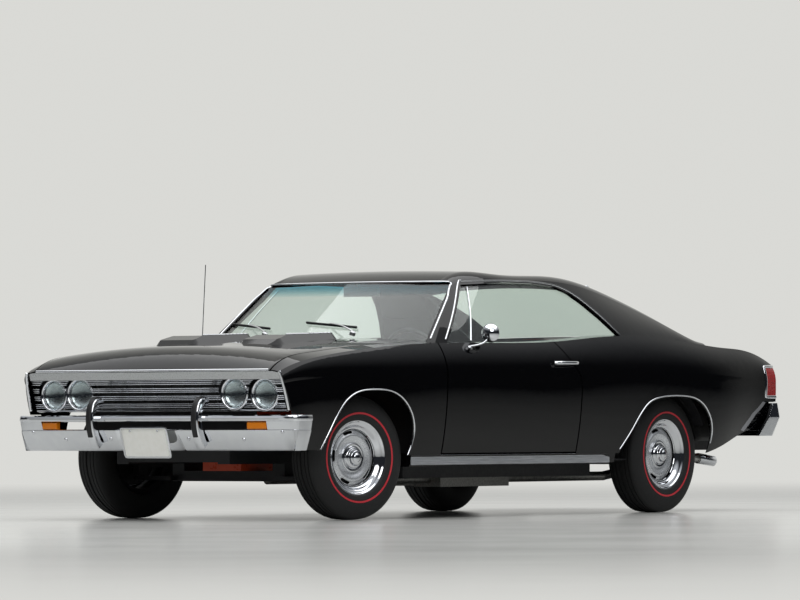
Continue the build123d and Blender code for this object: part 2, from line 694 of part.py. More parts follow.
# firewall with hinge posts, door hinge pins and hood hinge pins
FIREWALL_X = FLOOR_FRONT_X
POST_FRONT_X = 1070
with BuildPart() as firewall:
    add(box(FIREWALL_X, FIREWALL_X + SHEET, -660, 660, FLOOR_Z, 900))
    add(box(FIREWALL_X, FIREWALL_X + SHEET, -860, 860, DOOR_BOTTOM_Z, 760))
    for side in (1, -1):
        low = min(side * DOOR_INNER_Y, side * 880)
        add(box(DOOR_FRONT_X + 14, POST_FRONT_X, low, low + 80, DOOR_BOTTOM_Z, 922))
        add(box(POST_FRONT_X - 10, FIREWALL_X + 4, low, low + 80, DOOR_BOTTOM_Z, 760))
        for z in DOOR_HINGE_Z:
            leaf = [
                (DOOR_AXIS_X - 5, side * (DOOR_AXIS_Y + DOOR_PIN_RADIUS - 1)),
                (DOOR_AXIS_X + 5, side * (DOOR_AXIS_Y + DOOR_PIN_RADIUS - 1)),
                (DOOR_AXIS_X + 8, side * 874),
                (DOOR_FRONT_X + 20, side * 874),
                (DOOR_FRONT_X + 20, side * 852),
                (DOOR_AXIS_X - 8, side * 852),
            ]
            add(plan_block(leaf, z - 24, z))
            add(
                rod(
                    (DOOR_AXIS_X, side * DOOR_AXIS_Y, z - 10),
                    (DOOR_AXIS_X, side * DOOR_AXIS_Y, z + 32),
                    DOOR_PIN_RADIUS,
                )
            )
        y = side * HOOD_ARM_Y
        pin_in = min(y, side * (DOOR_INNER_Y - 12))
        pin_out = max(y, side * (DOOR_INNER_Y - 12))
        reach = 10
        add(
            rod(
                (HOOD_AXIS_X, pin_in - (reach if side > 0 else 0), HOOD_AXIS_Z),
                (HOOD_AXIS_X, pin_out + (reach if side < 0 else 0), HOOD_AXIS_Z),
                LID_PIN_RADIUS,
            )
        )
        plate_y = side * 776
        add(
            box(
                HOOD_AXIS_X - 20,
                DOOR_FRONT_X + 30,
                min(plate_y, side * 790),
                max(plate_y, side * 790),
                HOOD_AXIS_Z - 40,
                HOOD_AXIS_Z + 20,
            )
        )
        add(
            box(
                DOOR_FRONT_X + 14,
                DOOR_FRONT_X + 30,
                min(plate_y, side * 810),
                max(plate_y, side * 810),
                HOOD_AXIS_Z - 40,
                HOOD_AXIS_Z + 20,
            )
        )

    add(box(FIREWALL_X - 5, FIREWALL_X + 20, -150, 150, FLOOR_Z - 5, 478), mode=Mode.SUBTRACT)

# package shelf and lid hinge pins
with BuildPart() as rear_shelf:
    add(box(DECK_FRONT_X - 20, STEP_X, -640, 640, 918, 926))
    add(box(DECK_FRONT_X - 20, DECK_FRONT_X - 12, -640, 640, 926, 990))
    for side in (1, -1):
        y = side * LID_ARM_Y
        add(
            box(
                LID_AXIS_X - 16,
                DECK_FRONT_X,
                min(y + side * 14, y + side * 24),
                max(y + side * 14, y + side * 24),
                862,
                926,
            )
        )
        add(
            rod(
                (LID_AXIS_X, y - side * 10, LID_AXIS_Z),
                (LID_AXIS_X, y + side * 24, LID_AXIS_Z),
                LID_PIN_RADIUS,
            )
        )
    add(body_inner, mode=Mode.INTERSECT)

# perimeter frame with front suspension arms
EXHAUST_Y = 270
EXHAUST_Z = 205
PIPE_RADIUS = 26
TIP_RADIUS = 29
FRONT_RAIL_Y = 380
SIDE_RAIL_Y = 680
REAR_RAIL_Y = 470
RAIL = 80
KINGPIN_Y = HALF_TRACK - KINGPIN_OFFSET
ARM_TOP_Z = AXLE_Z + 112
ARM_LOW_Z = AXLE_Z - 112
with BuildPart() as frame:
    for side in (1, -1):
        rail = [
            (2190, side * (FRONT_RAIL_Y - RAIL)),
            (2190, side * FRONT_RAIL_Y),
            (1180, side * FRONT_RAIL_Y),
            (1040, side * SIDE_RAIL_Y),
            (-760, side * SIDE_RAIL_Y),
            (-900, side * REAR_RAIL_Y),
            (-2330, side * REAR_RAIL_Y),
            (-2330, side * (REAR_RAIL_Y - RAIL)),
            (-940, side * (REAR_RAIL_Y - RAIL)),
            (-800, side * (SIDE_RAIL_Y - RAIL)),
            (1000, side * (SIDE_RAIL_Y - RAIL)),
            (1140, side * (FRONT_RAIL_Y - RAIL)),
        ]
        with BuildPart(mode=Mode.PRIVATE) as run:
            add(plan_block(rail, 190, 490))
            add(
                side_block(
                    [
                        (2190, 390), (1290, 390), (1170, FLOOR_Z - SEAT_FIT), (-975, FLOOR_Z - SEAT_FIT),
                        (-1065, 488), (-1560, 488), (-1720, 420),
                        (-2330, 420), (-2330, 350), (-1690, 350), (-1560, 410), (-1120, 410),
                        (-1000, 215), (1180, 215),
                        (1320, 300), (2190, 300),
                    ],
                    -900,
                    900,
                ),
                mode=Mode.INTERSECT,
            )
        add(run.part)
        for z, reach in ((ARM_TOP_Z, 96), (ARM_LOW_Z, 150)):
            tip = side * KINGPIN_Y
            root = side * (FRONT_RAIL_Y - 30)
            arm = [
                (FRONT_AXLE_X + 20, tip + side * 24),
                (FRONT_AXLE_X + 26, tip - side * 30),
                (FRONT_AXLE_X + reach, root),
                (FRONT_AXLE_X - reach, root),
                (FRONT_AXLE_X - 26, tip - side * 30),
                (FRONT_AXLE_X - 20, tip + side * 24),
            ]
            add(plan_block(arm, z - 11, z + 11))
            add(
                rod((FRONT_AXLE_X, tip, z - 30), (FRONT_AXLE_X, tip, z + 30), KINGPIN_RADIUS + PIN_FIT),
                mode=Mode.SUBTRACT,
            )
        tower = [
            (FRONT_AXLE_X - 90, side * (FRONT_RAIL_Y - RAIL)),
            (FRONT_AXLE_X + 90, side * (FRONT_RAIL_Y - RAIL)),
            (FRONT_AXLE_X + 90, side * FRONT_RAIL_Y),
            (FRONT_AXLE_X - 90, side * FRONT_RAIL_Y),
        ]
        add(plan_block(tower, ARM_LOW_Z - 16, ARM_TOP_Z + 20))
    add(
        box(
            FRONT_AXLE_X - 90,
            FRONT_AXLE_X + 90,
            -FRONT_RAIL_Y,
            FRONT_RAIL_Y,
            ARM_LOW_Z - 16,
            ARM_LOW_Z + 40,
        )
    )
    add(box(2110, 2190, -FRONT_RAIL_Y, FRONT_RAIL_Y, 310, 380))
    add(box(600, 680, -SIDE_RAIL_Y + 20, SIDE_RAIL_Y - 20, EXHAUST_Z + PIPE_RADIUS + SEAT_FIT, 280))
    add(box(-2330, -2270, -REAR_RAIL_Y, REAR_RAIL_Y, 352, 418))
    add(box(-1640, -1580, -REAR_RAIL_Y + 20, REAR_RAIL_Y - 20, 420, 470))

# knuckles, built in the steered wheel's own plane
HUB_FACE = 40


def wheel_plane(side):
    turn = math.radians(STEER_REST_DEG)
    return Plane(
        origin=(FRONT_AXLE_X, side * KINGPIN_Y, AXLE_Z),
        x_dir=(math.cos(turn), math.sin(turn), 0),
        z_dir=(0, 0, 1),
    )


def knuckle(side):
    with BuildPart() as upright:
        with BuildSketch(Plane.XY.offset(ARM_LOW_Z - AXLE_Z + 17)):
            Rectangle(56, 52)
        extrude(amount=ARM_TOP_Z - ARM_LOW_Z - 34)
        add(rod((0, 0, -112 - 16), (0, 0, 112 + 16), KINGPIN_RADIUS))
        add(rod((0, 0, 0), (0, side * (KINGPIN_OFFSET + HUB_FACE + 18), 0), STUB_RADIUS))
        add(box(-150, 0, -side * 10 - 12, -side * 10 + 12, -52, -28))
    return wheel_plane(side).location * upright.part


with BuildPart() as knuckle_left:
    add(knuckle(1))
with BuildPart() as knuckle_right:
    add(knuckle(-1))

# wheels: tyre and slotted steel rim, drawn on their own spin axis
TYRE_BORE = RIM_RADIUS + 4 + SEAT_FIT
TYRE_PROFILE = [
    (TYRE_BORE, TYRE_WIDTH / 2 - 4),
    (TYRE_RADIUS, TYRE_WIDTH / 2 - 21),
]
RIM_PROFILE = [
    (STUB_RADIUS + PIN_FIT, 10),
    (STUB_RADIUS + PIN_FIT, 48),
    (58, 48),
    (70, 30),
    (118, 38),
    (150, 14),
    (166, 20),
    (178, 66),
    (RIM_RADIUS + 4, 72),
    (RIM_RADIUS + 4, 79),
    (RIM_RADIUS - 10, 66),
    (RIM_RADIUS - 10, -66),
    (RIM_RADIUS + 4, -79),
    (RIM_RADIUS - 18, -72),
    (RIM_RADIUS - 24, 2),
    (150, -2),
    (118, 22),
    (70, 14),
]
SLOT_COUNT = 5


def tyre():
    with BuildPart() as ring:
        with BuildSketch(Plane.YZ):
            points = [(w, r) for r, w in TYRE_PROFILE]
            Polygon(*(points + [(-w, r) for w, r in reversed(points)]), align=None)
        revolve(axis=Axis.Y)
    return ring.part


def rim():
    with BuildPart() as disc:
        with BuildSketch(Plane.YZ):
            Polygon(*[(w, r) for r, w in RIM_PROFILE], align=None)
        revolve(axis=Axis.Y)
        with BuildSketch(Plane.XZ.offset(-60)):
            with PolarLocations(132, SLOT_COUNT, start_angle=90):
                SlotOverall(62, 24, rotation=90)
        extrude(amount=70, mode=Mode.SUBTRACT)
    return disc.part


tyre_form = tyre()
rim_form = rim()
FACING = {
    "tyre": {1: tyre_form, -1: mirror(tyre_form, about=Plane.XZ)},
    "rim": {1: rim_form, -1: mirror(rim_form, about=Plane.XZ)},
}
FRONT_PLACES = {1: wheel_plane(1).location, -1: wheel_plane(-1).location}


def front_place(form, side):
    return FRONT_PLACES[side] * Location((0, side * KINGPIN_OFFSET, 0)) * form


def rear_place(form, side):
    return Location((REAR_AXLE_X, side * HALF_TRACK, AXLE_Z)) * form


wheels = []
for end, place in (("front", front_place), ("rear", rear_place)):
    for name, side in (("left", 1), ("right", -1)):
        for kind in ("tyre", "rim"):
            with BuildPart() as wheel_piece:
                add(place(FACING[kind][side], side))
            wheels.append((f"{kind}_{end}_{name}", wheel_piece))

# rear axle with differential and propeller shaft
with BuildPart() as rear_axle:
    tube_end = HALF_TRACK - 76
    add(rod((REAR_AXLE_X, -tube_end, AXLE_Z), (REAR_AXLE_X, tube_end, AXLE_Z), 38))
    add(rod((REAR_AXLE_X, -HALF_TRACK - 56, AXLE_Z), (REAR_AXLE_X, HALF_TRACK + 56, AXLE_Z), STUB_RADIUS))
    add(rod((REAR_AXLE_X - 90, 0, AXLE_Z), (REAR_AXLE_X + 170, 0, AXLE_Z), 105))
    add(rod((REAR_AXLE_X + 160, 0, AXLE_Z), (319, 0, 345), 34))

# engine with gearbox, radiator, tank and exhaust
with BuildPart() as engine:
    add(box(1175, 1800, -190, 190, 480, 800))
    add(box(1200, 1760, -270, 270, 600, 760))
    add(box(1260, 1760, -130, 130, ARM_LOW_Z + 40 + SEAT_FIT, 480))
    add(box(1300, 1640, -120, 120, 800, 880))
    add(rod((1480, 0, 870), (1480, 0, 925), 170))
    add(box(700, 1180, -120, 120, 300, 440))
    add(box(1160, 1270, -120, 120, 300, 490))
    add(box(320, 710, -80, 80, 290, 400))
with BuildPart() as radiator:
    add(box(2120, 2180, -298, 298, 380 + SEAT_FIT, 820))
with BuildPart() as fuel_tank:
    add(box(-2270 + SEAT_FIT, -1740, -370, 370, 300, 400))
    add(box(-2240, -1770, -330, 330, 270, 300))
with BuildPart() as exhaust:
    for side in (1, -1):
        y = side * EXHAUST_Y
        out = side * 640
        add(rod((1000, y, EXHAUST_Z), (-1500, y, EXHAUST_Z), PIPE_RADIUS))
        add(box(-420, 240, y - 90, y + 90, EXHAUST_Z - 45, EXHAUST_Z + 45))
        add(rod((-1490, y, EXHAUST_Z), (-1790, out, 318), PIPE_RADIUS))
        add(rod((-1780, out, 318), (-1890, side * 663.9, 303.65), PIPE_RADIUS))
        add(rod((-1880, side * 661.74, 304.96), (-2010, side * 690, 288), TIP_RADIUS))
    add(rod((560, -EXHAUST_Y, EXHAUST_Z), (560, EXHAUST_Y, EXHAUST_Z), PIPE_RADIUS))

# cabin fittings
SEAT_Z = FLOOR_Z + SHEET + SEAT_FIT
with BuildPart() as dashboard:
    add(side_block([(905, 640), (905, 890), (800, 925), (720, 880), (730, 760), (800, 640)], -780, 780))
    add(box(900, FIREWALL_X, -640, 640, 650, 780))
WHEEL_TILT = 24
COLUMN_FOOT = (1000, 380, 640)
COLUMN_HEAD = (500, 380, 850)
with BuildPart() as steering_column:
    add(rod((722, 380, 756.8), COLUMN_HEAD, 30))
    add(dashboard.part, mode=Mode.SUBTRACT)
with BuildPart() as steering_wheel:
    axis = Vector(*COLUMN_HEAD) - Vector(*COLUMN_FOOT)
    hub = Plane(origin=COLUMN_HEAD, z_dir=axis)
    with BuildSketch(hub.offset(30)):
        Circle(200)
        Circle(180, mode=Mode.SUBTRACT)
    extrude(amount=20)
    with BuildSketch(hub.offset(28)):
        Rectangle(30, 370)
        Circle(45)
    extrude(amount=14)
    with BuildSketch(hub.offset(0.5)):
        Circle(34)
    extrude(amount=30)
with BuildPart() as front_seat:
    add(
        side_block(
            [(560, SEAT_Z), (580, 500), (120, 470), (-80, 860), (-190, 850), (-60, 420), (20, SEAT_Z)],
            -700,
            700,
        )
    )
    fillet(front_seat.edges().filter_by(Axis.Y), 18)
    add(box(-300, 700, -160, 160, FLOOR_Z, FLOOR_Z + 170), mode=Mode.SUBTRACT)
with BuildPart() as rear_seat:
    add(
        side_block(
            [
                (-330, SEAT_Z), (-310, 520), (-700, 480), (-900, 880), (-950, 880), (-950, 508),
                (-900, SEAT_Z),
            ],
            -640,
            640,
        )
    )
    fillet(rear_seat.edges().filter_by(Axis.Y).sort_by(Axis.Z)[-2:], 12)
    add(box(-1000, -300, -160, 160, FLOOR_Z, FLOOR_Z + 170), mode=Mode.SUBTRACT)

# grille, lamps and bumpers
GRILLE_TOP = (2368, 770)
GRILLE_BOTTOM = (2312, 592)
GRILLE_HALF = 842
BAR_COUNT = 8


def bowed_strip(front_x, depth, half, z_from, z_to):
    """Strip across the nose, bowed forward like the hood lip."""
    bow = NOSE_BOW * (half / 852) ** 2
    with BuildPart() as strip:
        with BuildSketch(Plane.XY.offset(z_from)):
            with BuildLine():
                ThreePointArc((front_x - bow, half), (front_x, 0), (front_x - bow, -half))
                Line((front_x - bow, -half), (front_x - bow - depth, -half))
                ThreePointArc(
                    (front_x - bow - depth, -half),
                    (front_x - depth, 0),
                    (front_x - bow - depth, half),
                )
                Line((front_x - bow - depth, half), (front_x - bow, half))
            make_face()
        extrude(amount=z_to - z_from)
    return strip.part


LAMPS = ((2295, 711, 669), (2310, 520, 674))
LAMP_RADIUS = 88
with BuildPart() as grille:
    for step in range(BAR_COUNT):
        share = step / (BAR_COUNT - 1)
        bar_x = GRILLE_TOP[0] + share * (GRILLE_BOTTOM[0] - GRILLE_TOP[0])
        bar_z = GRILLE_TOP[1] + share * (GRILLE_BOTTOM[1] - GRILLE_TOP[1])
        add(
            bowed_strip(
                bar_x + 10,
                60 if step in (0, BAR_COUNT - 1) else 40,
                GRILLE_HALF - 4 + 4 * share,
                bar_z - 5,
                bar_z + 5,
            )
        )
    add(
        side_block(
            [
                (GRILLE_TOP[0] - 52, 776), (GRILLE_TOP[0] - 34, 776),
                (GRILLE_BOTTOM[0] - 34, 586), (GRILLE_BOTTOM[0] - 52, 586),
            ],
            -GRILLE_HALF + 12,
            GRILLE_HALF - 12,
        )
    )
    for side in (1, -1):
        low = min(side * 200, side * 250)
        add(box(2180 + SEAT_FIT, 2310, low, low + 50, 640, 700))
    for x, y, z in LAMPS:
        for side in (1, -1):
            add(
                rod((x - 200, side * y, z), (x + 200, side * y, z), LAMP_RADIUS + SEAT_FIT),
                mode=Mode.SUBTRACT,
            )
with BuildPart() as headlamps_left:
    for x, y, z in LAMPS:
        add(rod((x - 80, y, z), (x + 26, y, z), LAMP_RADIUS))
        add(rod((x + 10, y, z), (x + 40, y, z), 74), mode=Mode.SUBTRACT)
        add(rod((x + 8, y, z), (x + 14, y, z), 72))
    add(box(LAMPS[0][0] - 84, LAMPS[0][0] - 60, LAMPS[1][1], LAMPS[0][1], 640, 700))

SLOT_HALF = 760
SLOT_Z = (484, 526)


def bumper_face(z, nose, tip, half, end, depth, sign):
    """Plan outline of a wrapped bumper at height z."""
    with BuildSketch(Plane.XY.offset(z)) as face:
        with BuildLine():
            ThreePointArc((sign * tip, half - 40), (sign * nose, 0), (sign * tip, -half + 40))
            Line((sign * tip, -half + 40), (sign * (tip - 70), -half))
            Line((sign * (tip - 70), -half), (sign * end, -half + 8))
            Line((sign * end, -half + 8), (sign * end, -half + 26))
            Line((sign * end, -half + 26), (sign * (tip - 90), -half + 20))
            Line((sign * (tip - 90), -half + 20), (sign * (tip - depth), -half + 70))
            ThreePointArc(
                (sign * (tip - depth), -half + 70),
                (sign * (nose - depth), 0),
                (sign * (tip - depth), half - 70),
            )
            Line((sign * (tip - depth), half - 70), (sign * (tip - 90), half - 20))
            Line((sign * (tip - 90), half - 20), (sign * end, half - 26))
            Line((sign * end, half - 26), (sign * end, half - 8))
            Line((sign * end, half - 8), (sign * (tip - 70), half))
            Line((sign * (tip - 70), half), (sign * tip, half - 40))
        make_face()
    return face.sketch.face()


with BuildPart() as front_bumper:
    loft(
        sections=[
            bumper_face(373, 2372, 2268, 915, 2166, 46, 1),
            bumper_face(478, 2438, 2324, 940, 2190, 46, 1),
        ],
        ruled=True,
    )
    loft(
        sections=[
            bumper_face(478, 2438, 2324, 940, 2190, 46, 1),
            bumper_face(532, 2460, 2346, 950, 2200, 56, 1),
            bumper_face(557, 2440, 2326, 940, 2196, 46, 1),
        ],
        ruled=True,
    )
    add(box(2290, 2500, -SLOT_HALF, SLOT_HALF, SLOT_Z[0], SLOT_Z[1]), mode=Mode.SUBTRACT)
    for side in (1, -1):
        guard = [(2402, 380), (2462, 384), (2484, 500), (2470, 600), (2410, 654), (2388, 654), (2392, 560)]
        add(side_block(guard, min(side * 330, side * 378), max(side * 330, side * 378)))
        low = min(side * 310, side * 370)
        add(box(2190 + SEAT_FIT, 2340, low, low + 60, 374, 389))
with BuildPart() as turn_lamp_left:
    add(bumper_face(505, 2446, 2332, 944, 2090, 40, 1))
    extrude(amount=21 - SEAT_FIT, both=True)
    add(box(2290, 2500, SLOT_HALF - 164, SLOT_HALF - SEAT_FIT, 400, 600), mode=Mode.INTERSECT)
with BuildPart() as front_plate:
    add(side_block([(2397.8, 340), (2400.8, 340), (2446.6, 494), (2443.6, 494)], -153, 153))
with BuildPart() as rear_bumper:
    loft(
        sections=[
            bumper_face(432, 2436, 2384, 902, 2188, 40, -1),
            bumper_face(540, 2488, 2432, 924, 2268, 50, -1),
            bumper_face(622, 2466, 2420, 916, 2318, 46, -1),
        ],
        ruled=True,
    )
    for side in (1, -1):
        low = min(side * 300, side * 360)
        add(box(-2420, -2280, low, low + 60, 418 + SEAT_FIT, 450))
with BuildPart() as tail_lamp_left:
    add(body_outer)
    add(box(TAIL_X - 2, TAIL_X + 110, 600, 1000, 664, 826), mode=Mode.INTERSECT)

# outside fittings
with BuildPart() as handle_left:
    add(box(-235, -25, 955, 985, 836, 852))
    for x in (-215, -45):
        add(rod((x, 930, 844), (x, 970, 844), 9))
    add(body_outer, mode=Mode.SUBTRACT)
MIRROR_HEAD = (590, 944, 1004)
with BuildPart() as door_mirror:
    add(
        rod(
            (MIRROR_HEAD[0] - 18, MIRROR_HEAD[1], MIRROR_HEAD[2]),
            (MIRROR_HEAD[0] + 30, MIRROR_HEAD[1], MIRROR_HEAD[2]),
            52,
        )
    )
    add(rod((MIRROR_HEAD[0] + 10, MIRROR_HEAD[1] - 10, MIRROR_HEAD[2] - 40), (720, 890, 930), 8))
    add(body_outer, mode=Mode.SUBTRACT)
with BuildPart() as antenna:
    add(rod((860, -828, 940), (835, -820, 1400), 2.5))
    add(rod((860, -828, 940), (859, -827.6, 972), 12))
    add(body_outer, mode=Mode.SUBTRACT)
with BuildPart() as wipers:
    for y in WIPER_Y:
        add(rod((WIPER_X, y, 960), (WIPER_X, y, 1008), 10))
        add(rod((WIPER_X, y, 1004), (screen_x(y - 240, 1034) + 4, y - 240, 1034), 4))
        add(
            rod(
                (screen_x(y - 60, 1034) + 12, y - 60, 1034),
                (screen_x(y - 420, 1034) + 12, y - 420, 1034),
                4,
            )
        )
    add(rod((WIPER_X, WIPER_Y[1], 964), (WIPER_X, WIPER_Y[0], 964), 5))

# doors, lamps and glass of the right side mirror the left
pieces = [
    ("frame", frame),
    ("floor_pan", floor_pan),
    ("rockers", rockers),
    ("trunk_floor", trunk_floor),
    ("wheelhouses", wheelhouses),
    ("firewall", firewall),
    ("rear_shelf", rear_shelf),
    ("roof", roof),
    ("cowl_panel", cowl_panel),
    ("deck_panel", deck_panel),
    ("tail_panel", tail_panel),
    ("hood", hood),
    ("trunk_lid", trunk_lid),
    ("windscreen", windscreen),
    ("rear_window", rear_window),
    ("grille", grille),
    ("front_bumper", front_bumper),
    ("front_plate", front_plate),
    ("rear_bumper", rear_bumper),
    ("dashboard", dashboard),
    ("steering_column", steering_column),
    ("steering_wheel", steering_wheel),
    ("front_seat", front_seat),
    ("rear_seat", rear_seat),
    ("engine", engine),
    ("radiator", radiator),
    ("fuel_tank", fuel_tank),
    ("exhaust", exhaust),
    ("rear_axle", rear_axle),
    ("knuckle_left", knuckle_left),
    ("knuckle_right", knuckle_right),
    ("door_mirror", door_mirror),
    ("antenna", antenna),
    ("wipers", wipers),
] + wheels
for name, left in (
    ("fender", fender_left),
    ("door", door_left),
    ("quarter", quarter_left),
    ("door_glass", door_glass_left),
    ("quarter_glass", quarter_glass_left),
    ("headlamps", headlamps_left),
    ("turn_lamp", turn_lamp_left),
    ("tail_lamp", tail_lamp_left),
    ("handle", handle_left),
):
    with BuildPart() as right:
        add(mirror(left.part, about=Plane.XZ, mode=Mode.PRIVATE))
    pieces.append((f"{name}_left", left))
    pieces.append((f"{name}_right", right))

for name, piece in pieces:
    piece.part.label = name
    export_step(piece.part, f"parts/{name}.step")
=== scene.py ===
import json
import math

import bmesh
import bpy
from mathutils import Matrix, Vector
from mathutils.bvhtree import BVHTree


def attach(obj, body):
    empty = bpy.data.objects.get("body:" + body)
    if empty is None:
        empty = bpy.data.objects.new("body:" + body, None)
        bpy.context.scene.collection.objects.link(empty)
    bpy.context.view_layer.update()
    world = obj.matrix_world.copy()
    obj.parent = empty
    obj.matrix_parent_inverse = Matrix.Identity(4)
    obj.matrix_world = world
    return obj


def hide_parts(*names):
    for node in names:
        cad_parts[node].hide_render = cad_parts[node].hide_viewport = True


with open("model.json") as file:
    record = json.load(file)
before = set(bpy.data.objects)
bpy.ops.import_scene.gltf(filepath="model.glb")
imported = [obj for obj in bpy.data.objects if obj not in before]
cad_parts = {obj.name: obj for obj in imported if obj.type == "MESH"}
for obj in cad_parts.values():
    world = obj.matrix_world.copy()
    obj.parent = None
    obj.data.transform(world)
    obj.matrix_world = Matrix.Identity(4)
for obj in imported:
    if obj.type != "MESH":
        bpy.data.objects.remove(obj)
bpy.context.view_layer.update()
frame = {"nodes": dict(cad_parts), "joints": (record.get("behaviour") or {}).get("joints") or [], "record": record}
nodes = frame["nodes"]
joints = {joint["name"]: joint for joint in frame["joints"]}
mm = 0.001
sides = {"left": 1, "right": -1}
print("frame loaded:", len(nodes), "nodes")


def linear(code):  # sRGB hex to a linear colour
    parts = [int(code[i : i + 2], 16) / 255 for i in (0, 2, 4)]
    return tuple(c / 12.92 if c <= 0.04045 else ((c + 0.055) / 1.055) ** 2.4 for c in parts) + (1.0,)


def addNode(tree, kind, inputs=None, **attributes):
    node = tree.nodes.new("ShaderNode" + kind)
    for name, value in attributes.items():
        setattr(node, name, value)
    for name, value in (inputs or {}).items():
        if isinstance(value, bpy.types.NodeSocket):
            tree.links.new(value, node.inputs[name])
        else:
            node.inputs[name].default_value = value
    return node


def newTree(name):
    material = bpy.data.materials.new(name)
    material.use_nodes = True
    material.node_tree.nodes.clear()
    return material, material.node_tree


# A finish with two close tones, a roughness range and fine relief, all from one grain given in mm.
def makeFinish(name, light, dark, grain, rough, relief=0.0, stretch=(1, 1, 1), sockets=None):
    material, tree = newTree(name)
    coordinates = addNode(tree, "TexCoord").outputs["Object"]
    place = addNode(tree, "Mapping", {"Vector": coordinates, "Scale": stretch}).outputs["Vector"]
    noise = {"Vector": place, "Scale": 1 / (grain * mm), "Detail": 4.0}
    height = addNode(tree, "TexNoise", noise).outputs["Fac"]
    tones = addNode(tree, "ValToRGB", {"Fac": height})
    tones.color_ramp.elements[0].color = linear(dark)
    tones.color_ramp.elements[0].position = 0.35
    tones.color_ramp.elements[1].color = linear(light)
    tones.color_ramp.elements[1].position = 0.65
    gloss = addNode(
        tree,
        "MapRange",
        {"Value": height, "From Min": 0.3, "From Max": 0.7, "To Min": rough[0], "To Max": rough[1]},
    )
    shader = addNode(
        tree,
        "BsdfPrincipled",
        {"Base Color": tones.outputs["Color"], "Roughness": gloss.outputs["Result"], **(sockets or {})},
    )
    if relief:
        bump = addNode(tree, "Bump", {"Height": height, "Distance": relief * mm, "Strength": 1.0})
        tree.links.new(bump.outputs["Normal"], shader.inputs["Normal"])
    addNode(tree, "OutputMaterial", {"Surface": shader.outputs["BSDF"]})
    return material


# Parallel flutes, pitch in mm, along one axis of the car.
def addFlutes(tree, coordinates, pitch, direction):
    rate = math.pi / 10 / (pitch * mm)
    wave = addNode(tree, "TexWave", {"Vector": coordinates, "Scale": rate}, bands_direction=direction)
    return wave.outputs["Fac"]


# Thin pane: tinted see-through body with a mirror skin by angle, and a shade band between two heights.
def makePane(name, tint, band, bandHeights, flute=0):
    material, tree = newTree(name)
    coordinates = addNode(tree, "TexCoord").outputs["Object"]
    height = addNode(tree, "SeparateXYZ", {"Vector": coordinates}).outputs["Z"]
    share = addNode(
        tree,
        "MapRange",
        {"Value": height, "From Min": bandHeights[0] * mm, "From Max": bandHeights[1] * mm},
    ).outputs["Result"]
    tones = addNode(tree, "ValToRGB", {"Fac": share})
    tones.color_ramp.elements[0].color = linear(tint)
    tones.color_ramp.elements[1].color = linear(band)
    waves = addNode(tree, "TexNoise", {"Vector": coordinates, "Scale": 3.0, "Detail": 1.0}).outputs["Fac"]
    if flute:  # pressed ribs
        waves = addFlutes(tree, coordinates, flute, "Y")
    depth = 0.6 if flute else 0.02
    bump = addNode(tree, "Bump", {"Height": waves, "Distance": depth * mm, "Strength": 1.0}).outputs["Normal"]
    gloss = addNode(tree, "MapRange", {"Value": waves, "To Min": 0.0, "To Max": 0.02}).outputs["Result"]
    clear = addNode(tree, "BsdfTransparent", {"Color": tones.outputs["Color"]})
    mirror = addNode(tree, "BsdfPrincipled", {"Metallic": 1.0, "Roughness": gloss, "Normal": bump})
    mirror.inputs["Base Color"].default_value = linear("ffffff")
    tilt = addNode(tree, "LayerWeight", {"Blend": 0.5, "Normal": bump}).outputs["Facing"]
    steep = addNode(tree, "Math", {0: tilt, 1: 5.0}, operation="POWER").outputs[0]
    skin = addNode(tree, "MapRange", {"Value": steep, "To Min": 0.045, "To Max": 1.0}).outputs["Result"]
    pane = addNode(tree, "MixShader", {0: skin, 1: clear.outputs["BSDF"], 2: mirror.outputs["BSDF"]})
    addNode(tree, "OutputMaterial", {"Surface": pane.outputs["Shader"]})
    return material


# Moulded lens: coloured body with flutes.
def makeLens(name, tone, pitch, rough, transmission, direction="Y"):
    material, tree = newTree(name)
    coordinates = addNode(tree, "TexCoord").outputs["Object"]
    flutes = addFlutes(tree, coordinates, pitch, direction)
    bump = addNode(tree, "Bump", {"Height": flutes, "Distance": 0.8 * mm, "Strength": 1.0}).outputs["Normal"]
    glossRange = {"Value": flutes, "To Min": rough[0], "To Max": rough[1]}
    gloss = addNode(tree, "MapRange", glossRange).outputs["Result"]
    shader = addNode(
        tree,
        "BsdfPrincipled",
        {"Base Color": linear(tone), "Roughness": gloss, "Normal": bump, "Transmission Weight": transmission},
    )
    addNode(tree, "OutputMaterial", {"Surface": shader.outputs["BSDF"]})
    return material


